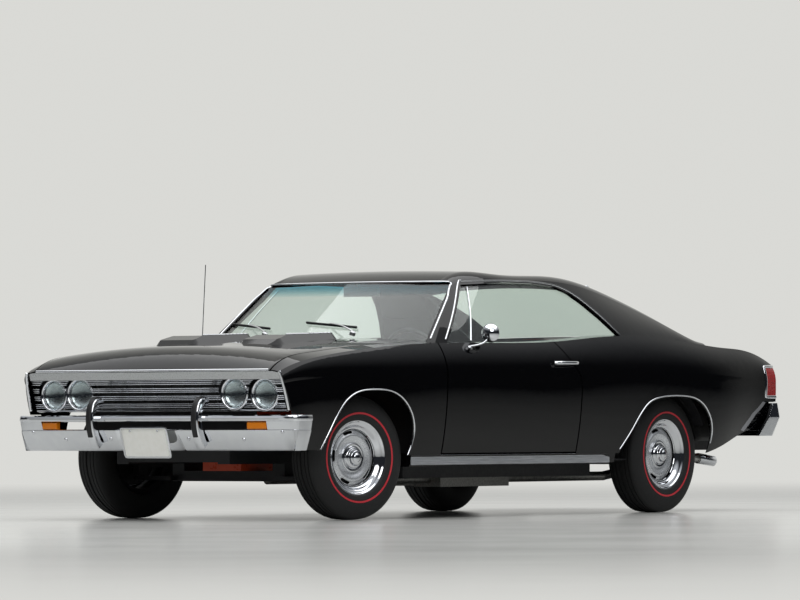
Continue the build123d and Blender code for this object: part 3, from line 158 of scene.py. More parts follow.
metal = {"Metallic": 1.0}
finishes = {
    # wet black enamel, polished, faint orange peel
    "gloss_black_paint": makeFinish(
        "GlossBlackEnamel", "060607", "040405", 9, (0.02, 0.045), 0.002, sockets={"Specular IOR Level": 0.3}
    ),
    # brushed-on chassis black
    "chassis_black": makeFinish("ChassisBlack", "17171a", "0e0e10", 14, (0.42, 0.62), 0.15),
    # mirror chrome with faint polishing haze
    "chrome": makeFinish("BrightChrome", "e1e3e6", "dcdee2", 60, (0.02, 0.05), sockets=metal),
    # satin anodised strip
    "bright_grille": makeFinish(
        "SatinAluminium", "c9cbcc", "babcbe", 6, (0.26, 0.36), 0.01, (0.05, 1, 1), metal
    ),
    # brushed along the car
    "brushed_aluminium": makeFinish(
        "BrushedAluminium", "d8dadd", "bcbfc3", 3, (0.46, 0.62), 0.02, (0.03, 1, 1), metal
    ),
    # faintly green safety glass, the windscreen with a blue shade band
    "clear_glass": makePane("TintedGlass", "f8fcfa", "f6fbf8", (900, 1300)),
    "screen_glass": makePane("ShadeBandGlass", "f7fbf9", "8ac6d2", (1215, 1268)),
    # clear pressed glass over a bright bowl
    "lamp_glass": makePane("PressedLampGlass", "f4f7f7", "eef2f2", (600, 760), 9),
    # moulded plastic lenses
    "amber_lens": makeLens("AmberLens", "f08a1c", 7, (0.12, 0.25), 0.25),
    "red_lens": makeLens("RedLens", "a80d12", 7, (0.12, 0.25), 0.2, "Z"),
    # natural rubber, dull with a light dusting
    "tyre_rubber": makeFinish("TyreRubber", "1a1a1b", "121212", 5, (0.6, 0.8), 0.06),
    # red rubber in the sidewall
    "red_line": makeFinish("RedRubberLine", "cc2c38", "b9242f", 5, (0.5, 0.65), 0.04),
    # argent silver wheel paint
    "silver_wheel": makeFinish(
        "ArgentSilver", "dcdee1", "d2d5d8", 2, (0.2, 0.32), 0.01, sockets={"Metallic": 0.6}
    ),
    # blank enamelled plate
    "blank_plate": makeFinish("PlateEnamel", "efeee8", "ebeae3", 25, (0.3, 0.36)),
    # moulded and painted trim, satin
    "black_trim": makeFinish("BlackTrim", "161617", "0d0d0e", 3, (0.45, 0.6), 0.08),
    # seat cover with a fine leather grain
    "black_vinyl": makeFinish("GrainedVinyl", "1d1d1e", "121213", 2.2, (0.38, 0.55), 0.25),
    # engine block enamel
    "orange_engine": makeFinish("EngineEnamel", "c9461d", "c1411a", 30, (0.25, 0.45), 0.08),
    # hot-dipped pipe
    "exhaust_steel": makeFinish("AluminisedPipe", "b5b4b0", "93928e", 12, (0.3, 0.5), 0.05, sockets=metal),
    # aluminised reflector
    "reflector": makeFinish("LampReflector", "e2e4e6", "d6d8da", 12, (0.14, 0.2), 0.05, sockets=metal),
    # deep mirror of a driving mirror
    "mirror_face": makeFinish("SilveredGlass", "eef0f2", "e6e8ea", 60, (0.0, 0.02), 0.0, sockets=metal),
}
# record slot of the finishes that only the scene has
for part in frame["record"]["subparts"]:
    mesh = nodes[part["node"]].data
    mesh.materials.clear()
    mesh.materials.append(finishes[part["material_slot"]])
nodes["windscreen"].data.materials[0] = finishes["screen_glass"]
print("finishes made:", len(finishes))


# Ends a bmesh as a named piece that rides on a body.
def addPiece(name, bm, finish, body="body", stands=(), sharp=35, bevel=0.0, rounds=0, wall=0.0):
    bmesh.ops.remove_doubles(bm, verts=bm.verts, dist=0.02 * mm)
    bmesh.ops.recalc_face_normals(bm, faces=bm.faces)
    mesh = bpy.data.meshes.new(name)
    bm.to_mesh(mesh)
    bm.free()
    piece = bpy.data.objects.new(name, mesh)
    bpy.context.scene.collection.objects.link(piece)
    mesh.materials.append(finishes[finish])
    mesh.shade_smooth()
    if not rounds:
        mesh.set_sharp_from_angle(angle=math.radians(sharp))
    if wall:
        solid = piece.modifiers.new("wall", "SOLIDIFY")
        solid.thickness = wall * mm
        solid.offset = -1.0
    if bevel:
        edge = piece.modifiers.new("edge", "BEVEL")
        edge.width = bevel * mm
        edge.segments = 3
        edge.limit_method = "ANGLE"
        edge.harden_normals = True
    if rounds:
        soft = piece.modifiers.new("soft", "SUBSURF")
        soft.levels = rounds
        soft.render_levels = rounds
    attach(piece, body)
    if stands:
        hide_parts(*stands)
    return piece


def addLine(bm, points):
    vert = bmesh.ops.create_vert(bm, co=points[0])["vert"][0]
    line = []
    for point in points[1:]:
        grown = bmesh.ops.extrude_vert_indiv(bm, verts=[vert])
        vert = grown["verts"][0]
        vert.co = point
        line.append(grown["edges"][0])
    return line


# Spins a profile of (radius, along) in mm round the place's own Y axis.
def addLathe(bm, profile, place, steps=96):
    line = addLine(bm, [place @ Vector((0, along * mm, radius * mm)) for radius, along in profile])
    verts = list({vert for edge in line for vert in edge.verts})
    bmesh.ops.spin(
        bm,
        geom=verts + line,
        cent=place.translation,
        axis=place.to_3x3() @ Vector((0, 1, 0)),
        angle=2 * math.pi,
        steps=steps,
        use_merge=True,
    )


# Pulls a closed section of (across, out) in mm along stations.
def addSweep(bm, section, stations, closed=False):
    ring = bmesh.ops.create_circle(bm, segments=len(section), radius=mm)["verts"]
    for vert, (across, out) in zip(ring, section):
        vert.co = stations[0] @ Vector((across * mm, out * mm, 0))
    edges = list({edge for vert in ring for edge in vert.link_edges})
    first = edges
    for before, after in zip(stations, stations[1:]):
        grown = bmesh.ops.extrude_edge_only(bm, edges=edges)["geom"]
        verts = {item for item in grown if isinstance(item, bmesh.types.BMVert)}
        edges = [e for e in grown if isinstance(e, bmesh.types.BMEdge) and verts.issuperset(e.verts)]
        bmesh.ops.transform(bm, matrix=after @ before.inverted(), verts=list(verts))
    if closed:
        bmesh.ops.bridge_loops(bm, edges=first + edges)
    else:
        bmesh.ops.holes_fill(bm, edges=first + edges, sides=0)


# Stations along points, each turned so that its Y axis leans to the given outward direction.
def addStations(points, outward, closed=False, scale=None):
    stations = []
    last = len(points) - 1
    for i, point in enumerate(points):
        before = points[i - 1 if i or closed else 0]
        after = points[(i + 1) % (last + 1) if closed else min(i + 1, last)]
        along = (after - before).normalized()
        out = outward[i] if isinstance(outward, list) else outward
        across = out.cross(along).normalized()
        out = along.cross(across).normalized()
        turn = Matrix((across, out * (scale[i] if scale else 1), along)).transposed().to_4x4()
        stations.append(Matrix.Translation(point) @ turn)
    return stations


# Even values from the first to the last.
def spread(first, last, steps):
    return [first + (last - first) * k / steps for k in range(steps + 1)]


# A smooth line through given points, as a Catmull-Rom curve.
def smoothLine(points, steps=6):
    points = [Vector(p) for p in points]
    line = []
    for i in range(len(points) - 1):
        a, b, c, d = (points[min(max(j, 0), len(points) - 1)] for j in (i - 1, i, i + 1, i + 2))
        for k in range(steps):
            t = k / steps
            second, third = 2 * a - 5 * b + 4 * c - d, 3 * b - a - 3 * c + d
            line.append(0.5 * (2 * b + (c - a) * t + second * t**2 + third * t**3))
    return line + [points[-1]]


def smoothFlat(points, steps=6):  # the same for points of two values
    return [(p.x, p.y) for p in smoothLine([(a, b, 0) for a, b in points], steps)]


surfaces = {}
rayStart = {"ahead": 2.7, "screen": 1.8, "aside": 1.3, "above": 1.4}  # metres, clear of the car


# Nearest hit on some CAD nodes along a ray, as place and outward normal.
def castOn(names, start, direction):
    best = None
    for name in names:
        if name not in surfaces:
            mesh = nodes[name].data
            places = [vert.co for vert in mesh.vertices]
            surfaces[name] = BVHTree.FromPolygons(places, [face.vertices for face in mesh.polygons])
        place, normal, index, reach = surfaces[name].ray_cast(start, direction)
        if place and (best is None or reach < best[2]):
            best = (place, normal if normal.dot(direction) < 0 else -normal, reach)
    return best[:2] if best else None


# Places and normals of many rays; a ray that misses is left out.
def castAll(names, starts, direction):
    hits = [castOn(names, start, Vector(direction)) for start in starts]
    hits = [hit for hit in hits if hit]
    return [hit[0] for hit in hits], [hit[1] for hit in hits]


# Side-view points (x, z) in mm laid on panels of one side.
def layOnSide(names, points, side):
    starts = [Vector((x * mm, side * rayStart["aside"], z * mm)) for x, z in points]
    return castAll(names, starts, (0, -side, 0))


def halfRound(width, height, steps=6):
    arc = [(width / 2 * math.cos(a), height * math.sin(a)) for a in spread(0, math.pi, steps)]
    return arc + [(-width / 2, -1.0), (width / 2, -1.0)]


def fullRound(across, out, steps):
    around = spread(0, 2 * math.pi, steps)[:-1]
    return [(across * math.cos(a), out * math.sin(a)) for a in around]


def addMoulding(name, form, points, outward, body="body"):  # half-round bright strip along points
    bm = bmesh.new()
    addSweep(bm, halfRound(form["width"], form["height"]), addStations(points, outward))
    addPiece(name, bm, "chrome", body)


# wheels: tyre with grooves and red line, trim ring, slotted disc, cap and brake drum
wheel = {
    "tyre": [
        (196, 80), (200, 89), (206, 94), (209, 96.5), (212, 96.5), (216, 98), (228, 101), (250, 102.4),
        (272, 101), (290, 97.5), (304, 92.5), (315, 86), (323, 79), (328, 72), (330, 64), (330.6, 58),
        (324.5, 57), (324.5, 53), (331.2, 52), (331.6, 33), (325, 32), (325, 28), (331.8, 27), (332, 8),
        (325.5, 7), (325.5, 3.5),
    ],
    "redLine": [(232, 101.3), (232.4, 102.9), (241.6, 103.5), (242, 102.0)],
    "trimRing": [
        (196, 76), (203, 80), (204.5, 84), (202, 87.5), (197, 88), (193, 86), (190, 80), (184, 77),
        (176, 74.5), (170, 66), (162, 57), (156, 53), (151, 54), (149, 51), (152, 47),
    ],
    "disc": [
        (158, 28), (155, 36), (149, 40), (146, 42), (131, 47), (128, 50), (122, 53), (114, 53), (104, 50),
        (92, 44), (80, 42), (30, 42),
    ],
    "slotRing": (134, 144),
    "slots": 5,
    "slotSteps": 3,
    "cap": [
        (79, 42), (79, 48), (76, 51), (70, 52), (67, 50), (62, 50), (59, 54), (56, 60), (51, 63), (46, 63),
        (43, 66), (41, 76), (38, 81), (32, 83), (25, 83), (22, 86), (19, 89), (12, 91), (0, 92),
    ],
    "drum": [(0, -6), (150, -6), (150, 14), (140, 22), (60, 24), (0, 24)],
    "barrel": [(196, -79), (190, -74), (172, -70), (170, -10), (172, 40), (186, 72), (196, 78)],
}


def addWheel(spin, end, side):
    joint = joints[spin]
    outward = Vector(joint["axis"]).normalized() * sides[side]
    forward = outward.cross(Vector((0, 0, 1)))
    place = Matrix((forward, outward, Vector((0, 0, 1)))).transposed().to_4x4()
    place.translation = Vector(joint["pos_m"])
    body = f"wheel_{end}_{side}"
    bm = bmesh.new()
    half = wheel["tyre"]
    addLathe(bm, half + [(radius, -along) for radius, along in reversed(half)], place, 128)
    addPiece(f"tyre_tread_{end}_{side}", bm, "tyre_rubber", body, (f"tyre_{end}_{side}",), sharp=50)
    bm = bmesh.new()
    addLathe(bm, wheel["redLine"], place, 128)
    addPiece(f"tyre_red_line_{end}_{side}", bm, "red_line", body)
    bm = bmesh.new()
    addLathe(bm, wheel["trimRing"], place, 128)
    addPiece(f"wheel_trim_ring_{end}_{side}", bm, "chrome", body, sharp=60)
    bm = bmesh.new()
    steps = 2 * wheel["slots"] * (wheel["slotSteps"] + 1)
    addLathe(bm, wheel["disc"], place, steps)
    back = place.inverted()
    doomed = []
    for face in bm.faces:
        middle = back @ face.calc_center_median()
        radius = math.hypot(middle.x, middle.z) / mm
        turn = math.degrees(math.atan2(middle.x, middle.z)) % (360 / wheel["slots"])
        width = wheel["slotSteps"] * 360 / steps
        if wheel["slotRing"][0] < radius < wheel["slotRing"][1] and turn < width:
            doomed.append(face)
    bmesh.ops.delete(bm, geom=doomed, context="FACES")
    addPiece(f"wheel_disc_{end}_{side}", bm, "silver_wheel", body, (f"rim_{end}_{side}",), wall=4, rounds=2)
    bm = bmesh.new()
    addLathe(bm, wheel["cap"], place, 96)
    addPiece(f"wheel_cap_{end}_{side}", bm, "chrome", body, sharp=50)
    bm = bmesh.new()
    addLathe(bm, wheel["drum"], place, 64)
    addLathe(bm, wheel["barrel"], place, 96)
    addPiece(f"wheel_drum_{end}_{side}", bm, "chassis_black", body)


for end in ("front", "rear"):
    for side in sides:
        addWheel(f"spin_{end}_{side}", end, side)
print("wheels done")

# bright lips round the wheel arches
archLip = {
    "front": [
        (2046, 366), (1998, 470), (1946, 564), (1874, 641), (1777, 684), (1645, 695), (1507, 687),
        (1400, 648), (1318, 577), (1277, 491), (1282, 407), (1304, 345),
    ],
    "rear": [
        (-727, 363), (-815, 462), (-901, 568), (-982, 630), (-1099, 657), (-1275, 664), (-1433, 652),
        (-1545, 612), (-1632, 539), (-1671, 460), (-1671, 392),
    ],
    "width": 9,
    "height": 6,
}
for side in sides:
    for end, panel in (("front", "fender"), ("rear", "quarter")):
        points, normals = layOnSide([f"{panel}_{side}"], smoothFlat(archLip[end]), sides[side])
        addMoulding(f"arch_lip_{end}_{side}", archLip, points, normals)

# ribbed bright strip along the rocker
rocker = {
    "from": 1268, "to": -716, "steps": 24, "z": 316,
    "height": 54, "ribs": 6, "rib": 4.5, "groove": 1.5, "sink": -1,
}
for side in sides:
    span = spread(rocker["from"], rocker["to"], rocker["steps"])
    panels = ["rockers", "floor_pan", "frame"]
    panels += [f"fender_{side}", f"quarter_{side}", f"door_{side}", "firewall"]
    points = layOnSide(panels, [(x, rocker["z"]) for x in span], sides[side])[0]
    half, rib, groove = rocker["height"] / 2, rocker["rib"], rocker["groove"]
    feet = spread(-half, half, rocker["ribs"])
    section = [(-half, rocker["sink"])]
    for foot, head in zip(feet, feet[1:]):
        section += [(foot, groove), (foot + groove, rib), (head - groove, rib)]
    section += [(half, groove), (half, rocker["sink"])]
    bm = bmesh.new()
    addSweep(bm, section, addStations(points, Vector((0, sides[side], 0))))
    addPiece(f"rocker_strip_{side}", bm, "brushed_aluminium", sharp=20)
print("side trim done")

# front: the nose is bowed, so every cross strip follows one plan curve
nose = {"bow": 22, "half": 852, "pitch": 40}


def bowPath(yFrom, yTo, steps):
    span = spread(yFrom, yTo, steps)
    return [Vector((-nose["bow"] * (y / nose["half"]) ** 2 * mm, y * mm, 0)) for y in span]


# Turns section points of (height, forward) so that the sweep runs across the car.
crossTurn = Matrix(((0, 1, 0), (0, 0, 1), (1, 0, 0))).to_4x4()


def addCrossStrip(bm, section, yFrom, yTo):
    steps = max(2, round(abs(yTo - yFrom) / nose["pitch"]))
    addSweep(bm, section, [Matrix.Translation(p) @ crossTurn for p in bowPath(yFrom, yTo, steps)])


lamp = {
    "places": ((2295, 711, 669), (2310, 520, 674)),
    "clear": 92,
    "bezel": [(90, -46), (90, 12), (91.5, 19), (90, 25), (85, 28), (80, 27), (76, 21), (73, 13), (71, 9)],
    "bowl": [(72, 9), (68, 4), (58, -2), (44, -7), (26, -10), (12, -11), (0, -11)],
    "lens": [(72, 10), (64, 15), (50, 18.5), (30, 21), (0, 22)],
}
grille = {
    "top": (770, 2374), "bottom": (594, 2319), "half": 842, "shortest": 12,
    "groups": 4, "lines": 3, "firstBar": 744, "groupPitch": 41, "linePitch": 9.5, "bar": (6.4, 6),
    "backTop": (778, 2300), "backBottom": (584, 2238), "backWall": 6,
    "dividers": 8, "dividerSpan": 396, "dividerHalf": 1.5, "dividerFrom": 8, "dividerDepth": 12,
    "sill": [(578, 2312), (582, 2322), (590, 2324), (592, 2316), (590, 2300), (578, 2300)],
}


def grilleSpans(z):  # stretches of y that the lamps leave free at a height
    cuts = []
    for x, y, lampZ in lamp["places"]:
        reach = lamp["clear"] ** 2 - (z - lampZ) ** 2
        if reach > 0:
            cuts += [(side * y - reach**0.5, side * y + reach**0.5) for side in sides.values()]
    spans = []
    start = -grille["half"]
    for low, high in sorted(cuts):
        spans.append((start, low))
        start = high
    spans.append((start, grille["half"]))
    return [(low, high) for low, high in spans if high - low > grille["shortest"]]


def grilleFace(z):  # the leaning front of the grille at a height
    (topZ, topX), (lowZ, lowX) = grille["top"], grille["bottom"]
    return topX + (topZ - z) / (topZ - lowZ) * (lowX - topX)


bars = bmesh.new()
for group in range(grille["groups"]):
    for k in range(grille["lines"]):
        z = grille["firstBar"] - group * grille["groupPitch"] - k * grille["linePitch"]
        section = [(z + across, grilleFace(z) + out) for across, out in halfRound(*grille["bar"])]
        for yFrom, yTo in grilleSpans(z):
            addCrossStrip(bars, section, yFrom, yTo)
addPiece("grille_bars", bars, "chrome", stands=("grille",), sharp=50)
back = bmesh.new()
(topZ, topX), (lowZ, lowX), wall = grille["backTop"], grille["backBottom"], grille["backWall"]
section = [(topZ, topX), (lowZ, lowX), (lowZ, lowX - wall), (topZ, topX - wall)]
addCrossStrip(back, section, -grille["half"], grille["half"])
addPiece("grille_back", back, "black_trim")
uprights = bmesh.new()
lean = [(z, x - grille["dividerFrom"]) for z, x in (grille["top"], grille["bottom"])]
section = lean + [(z, x - grille["dividerDepth"]) for z, x in reversed(lean)]
for y in spread(-grille["dividerSpan"], grille["dividerSpan"], grille["dividers"]):
    addCrossStrip(uprights, section, y - grille["dividerHalf"], y + grille["dividerHalf"])
addPiece("grille_dividers", uprights, "black_trim")

# a place whose lathe axis points forward
forwardPlace = Matrix(((0, 1, 0, 0), (-1, 0, 0, 0), (0, 0, 1, 0), (0, 0, 0, 1)))
for side in sides:
    bezels, bowls, lenses = bmesh.new(), bmesh.new(), bmesh.new()
    for x, y, z in lamp["places"]:
        place = Matrix.Translation(Vector((x, sides[side] * y, z)) * mm) @ forwardPlace
        addLathe(bezels, lamp["bezel"], place, 72)
        addLathe(bowls, lamp["bowl"], place, 64)
        addLathe(lenses, lamp["lens"], place, 64)
    addPiece(f"lamp_bezels_{side}", bezels, "chrome", stands=(f"headlamps_{side}",), sharp=60, wall=1.5)
    addPiece(f"lamp_bowls_{side}", bowls, "reflector", wall=1)
    addPiece(f"lamp_lenses_{side}", lenses, "lamp_glass", wall=2.5)

# satin header over the grille, its sill, the radiator support, bright hood lip and fender edges
header = {"section": [(749, 2378), (790, 2390), (793, 2388), (793, 2380), (749, 2366)], "half": 842}
strip = bmesh.new()
addCrossStrip(strip, header["section"], -header["half"], header["half"])
addPiece("header_strip", strip, "bright_grille", sharp=25)
sill = bmesh.new()
addCrossStrip(sill, grille["sill"], -grille["half"], grille["half"])
addPiece("grille_sill", sill, "chrome", bevel=1.5)
support = {"section": [(604, 2204), (604, 2198), (392, 2198), (392, 2204)], "half": 560}
strip = bmesh.new()
addCrossStrip(strip, support["section"], -support["half"], support["half"])
addPiece("radiator_support", strip, "black_trim")
lip = {"z": 798, "half": 784, "steps": 40, "width": 13, "height": 7}
span = spread(-lip["half"], lip["half"], lip["steps"])
starts = [Vector((rayStart["ahead"], y * mm, lip["z"] * mm)) for y in span]
points = castAll(["hood"], starts, (-1, 0, 0))[0]
addMoulding("hood_lip", lip, points, Vector((1, 0, 0)), "hood_body")
edge = {
    "line": [(2376, 850, 790), (2371, 857, 772), (2355, 864, 712), (2336, 868, 650), (2318, 870, 586)],
    "width": 16, "height": 7,
}
for side in sides:
    points = smoothLine([(x * mm, sides[side] * y * mm, z * mm) for x, y, z in edge["line"]])
    addMoulding(f"fender_edge_{side}", edge, points, Vector((1, 0, 0)))
print("nose done")

# front bumper: blade, lean apron with a plate bay, end caps, two guards, bolts and turn lenses
bumper = {
    "nose": 2446, "tip": 2346, "half": 946, "end": 2200, "faceHalf": 900, "faceSteps": 80,
    "shoulder": 78, "taper": (8, 5, 2, 0), "corner": (38, 40), "cornerTurn": (0.35, 0.7, 1.05, 1.35),
    "blade": [
        (558, -46), (562, -24), (560, -8), (555, -1), (546, 3), (537, 2), (530, -3), (526, -12), (526, -46),
    ],
    "apron": [
        (486, -46), (486, -26), (482, -21), (474, -22), (380, -82), (374, -88), (372, -94), (376, -98),
        (470, -46),
    ],
    "cap": [(530, -46), (530, -6), (505, -14), (484, -22), (484, -46)], "capSteps": 6,
    "bay": (158, 200, 24), "slotEnd": 760, "sideLean": 0.42, "wrap": (90, 85),
}


# Plan points (x, y) of the wrapped bumper: its face between two places, and one end.
def bumperFace(yFrom, yTo, steps):
    drop = bumper["nose"] - bumper["tip"]
    reach = bumper["half"] - bumper["corner"][1]
    return [(bumper["nose"] - drop * (y / reach) ** 2, y) for y in spread(yFrom, yTo, steps)]


def bumperEnd(side):
    tip, half, (deep, wide) = bumper["tip"], bumper["half"], bumper["corner"]
    run = spread(bumper["end"], tip - bumper["shoulder"], len(bumper["taper"]) - 1)
    turn = [(x, half - inset) for x, inset in zip(run, bumper["taper"])]
    for a in bumper["cornerTurn"]:
        turn.append((tip - deep + deep * math.sin(a), half - wide + wide * math.cos(a)))
    return [(x, side * y) for x, y in turn]


def bumperStations(plan, bay=None):  # the bay sets the face back behind the plate
    points, outward, scale = [], [], []
    start, length = bumper["wrap"]
    for x, y in plan:
        depth = min(1, max(0, (bay[1] - abs(y)) / (bay[1] - bay[0]))) * bay[2] if bay else 0
        points.append(Vector(((x - depth) * mm, y * mm, 0)))
        wrap = min(1, max(0, (abs(y) - bumper["half"] + start) / length))
        outward.append(Vector((1 - wrap, wrap * (1 if y > 0 else -1), 0)).normalized())
        scale.append(1 + wrap * (bumper["sideLean"] - 1))
    return addStations(points, outward, scale=scale)


faceHalf = bumper["faceHalf"]
plan = bumperEnd(-1) + bumperFace(-faceHalf, faceHalf, bumper["faceSteps"]) + bumperEnd(1)[::-1]
bm = bmesh.new()
addSweep(bm, bumper["blade"], bumperStations(plan))
addSweep(bm, bumper["apron"], bumperStations(plan, bumper["bay"]))
for side in sides.values():
    cap = bumperEnd(side) + bumperFace(side * faceHalf, side * bumper["slotEnd"], bumper["capSteps"])
    addSweep(bm, bumper["cap"], bumperStations(cap if side < 0 else cap[::-1]))
addPiece("bumper_front", bm, "chrome", stands=("front_bumper",), sharp=28)
guard = {
    "y": 354,
    "path": [
        (2366, 648), (2396, 653), (2424, 645), (2448, 620), (2462, 580), (2466, 535), (2460, 490),
        (2446, 446), (2428, 410), (2406, 382),
    ],
    "section": [(-25, -40), (-25, -8), (-22, -1), (-15, 3), (15, 3), (22, -1), (25, -8), (25, -40)],
    "pad": [(-16, 0), (-16, 6), (-11, 9), (11, 9), (16, 6), (16, 0)],
    "padStations": (4, 43),
}
chromeGuards, pads = bmesh.new(), bmesh.new()
for side in sides.values():
    line = smoothLine([(x * mm, side * guard["y"] * mm, z * mm) for x, z in guard["path"]])
    pairs = zip(line[:1] + line[:-1], line[1:] + line[-1:])
    stations = addStations(line, [Vector((a.z - b.z, 0, b.x - a.x)) for a, b in pairs])
    addSweep(chromeGuards, guard["section"], stations)
    addSweep(pads, guard["pad"], stations[slice(*guard["padStations"])])
addPiece("bumper_guards", chromeGuards, "chrome", bevel=2)
addPiece("guard_pads", pads, "black_trim", bevel=1.5)
bolt = {
    "places": ((-600, 432), (600, 432), (-840, 470), (840, 470), (-262, 436), (262, 436)),
    "profile": [(11, -2), (10, 2), (7, 5), (0, 6)],
    "apron": (474, -22, 0.64), "lean": -32,  # height, set-back and slope of the apron under them
}
bolts = bmesh.new()
topZ, setBack, slope = bolt["apron"]
for y, z in bolt["places"]:
    x = bumperFace(y, y + 1, 1)[0][0] + setBack - (topZ - z) * slope
    place = Matrix.Translation(Vector((x, y, z)) * mm) @ forwardPlace
    addLathe(bolts, bolt["profile"], place @ Matrix.Rotation(math.radians(bolt["lean"]), 4, "X"), 24)
addPiece("bumper_bolts", bolts, "chrome", sharp=60)
turnLens = {"y": (644, 757), "z": (487, 523), "out": -13, "deep": 26, "ease": 4, "steps": 8}
for side in sides:
    (inner, outer), (low, high), ease = turnLens["y"], turnLens["z"], turnLens["ease"]
    face, rear = turnLens["out"], turnLens["out"] - turnLens["deep"]
    section = [(low, rear), (low, face - ease), (low + ease, face)]
    section += [(high - ease, face), (high, face - ease), (high, rear)]
    plan = bumperFace(sides[side] * inner, sides[side] * outer, turnLens["steps"])
    bm = bmesh.new()
    addSweep(bm, section, bumperStations(plan if sides[side] > 0 else plan[::-1]))
    addPiece(f"turn_lens_{side}", bm, "amber_lens", stands=(f"turn_lamp_{side}",), bevel=1.5)
print("front bumper done")

# roof trim: drip rails, windscreen and rear window reveals
rail = {
    "line": [
        (806, 945), (630, 1114), (452, 1283), (400, 1292), (250, 1297), (55, 1301), (-120, 1300),
        (-264, 1297), (-444, 1281), (-562, 1244), (-655, 1185), (-755, 1101), (-848, 1006), (-868, 985),
    ],
    "width": 10, "height": 6,
}
for side in sides:
    points, normals = layOnSide(["roof"], smoothFlat(rail["line"], 5), sides[side])
    addMoulding(f"drip_rail_{side}", rail, points, normals)
reveal = {
    "screen": [
        (-742, 972), (-736, 990), (-706, 1085), (-669, 1195), (-645, 1238), (-635, 1258), (-626, 1273),
        (-612, 1285), (-590, 1290), (-400, 1292), (0, 1293),
    ],
    "rear": [
        (-1385, -584, 988), (-1140, -584, 1130), (-905, -584, 1265), (-884, -572, 1277), (-878, -530, 1281),
        (-877, 0, 1281),
    ],
    "rearOut": (-0.5, 0, 0.866), "rearLift": 5, "width": 11, "height": 5,
}
outline = reveal["screen"] + [(-y, z) for y, z in reversed(reveal["screen"][:-1])]
outline = smoothFlat([(y * mm, z * mm) for y, z in outline], 5)
starts = [Vector((rayStart["screen"], y, z)) for y, z in outline]
addMoulding("screen_reveal", reveal, *castAll(["roof", "windscreen"], starts, (-1, 0, 0)))
outline = reveal["rear"] + [(x, -y, z) for x, y, z in reversed(reveal["rear"][:-1])]
rise = Vector(reveal["rearOut"])
line = [p * mm + rise * reveal["rearLift"] * mm for p in smoothLine(outline, 5)]
addMoulding("rear_reveal", reveal, line, rise)
print("roof trim done")

# door furniture: vent window frame, handles and the driver's mirror
vent = {"bar": [(588, 962), (484, 1116), (388, 1260)], "width": 9, "height": 7}
for side in sides:
    points, normals = layOnSide([f"door_glass_{side}"], vent["bar"], sides[side])
    addMoulding(f"vent_frame_{side}", vent, smoothLine(points, 4), normals[0], f"door_{side}_body")
handle = {
    "line": [(-28, 950), (-38, 966), (-66, 977), (-130, 981), (-192, 978), (-222, 968), (-236, 950)],
    "z": 844,
    "section": [(-9, 0), (-9, 4), (-6, 7), (0, 8.5), (6, 7), (9, 4), (9, 0), (6, -3), (-6, -3)],
    "button": [(10, -14), (10, 6), (8, 9), (0, 10)],
    "buttonPlace": (-56, 974),
}
sidePlace = {"left": Matrix.Identity(4), "right": Matrix.Rotation(math.pi, 4, "Z")}
for side in sides:
    bm = bmesh.new()
    line = smoothLine([(x * mm, sides[side] * y * mm, handle["z"] * mm) for x, y in handle["line"]])
    addSweep(bm, handle["section"], addStations(line, Vector((0, sides[side], 0))))
    x, y = handle["buttonPlace"]
    place = Matrix.Translation(Vector((x, sides[side] * y, handle["z"])) * mm) @ sidePlace[side]
    addLathe(bm, handle["button"], place, 32)
    addPiece(f"door_handle_{side}", bm, "chrome", f"door_{side}_body", (f"handle_{side}",), sharp=50)
mirror = {
    "place": (590, 944, 1004),
    "shell": [(47, -19), (51, -20), (52.5, -16), (52, -4), (49, 9), (41, 20), (28, 28), (12, 32), (0, 33)],
    "face": [(47.5, -18), (30, -18.6), (0, -19)],
    "stalk": [(604, 938, 972), (622, 928, 952), (662, 910, 938), (704, 892, 932)],
    "stalkSection": fullRound(7, 5, 10),
    "foot": [(26, -8), (25, 2), (20, 8), (10, 11), (0, 12)],
    "footPlace": (714, 888, 926), "footLean": 65, "footScale": (1.7, 1, 0.9, 1),
}
place = Matrix.Translation(Vector(mirror["place"]) * mm) @ forwardPlace
bm = bmesh.new()
addLathe(bm, mirror["shell"], place, 64)
line = smoothLine([[c * mm for c in p] for p in mirror["stalk"]])
addSweep(bm, mirror["stalkSection"], addStations(line, Vector((0, 0, 1))))
foot = Matrix.Translation(Vector(mirror["footPlace"]) * mm)
foot = foot @ Matrix.Rotation(math.radians(mirror["footLean"]), 4, "X") @ Matrix.Diagonal(mirror["footScale"])
addLathe(bm, mirror["foot"], foot, 40)
addPiece("mirror_shell", bm, "chrome", "door_left_body", ("door_mirror",), sharp=50)
bm = bmesh.new()
addLathe(bm, mirror["face"], place, 64)
addPiece("mirror_glass", bm, "mirror_face", "door_left_body", wall=2)
print("door furniture done")

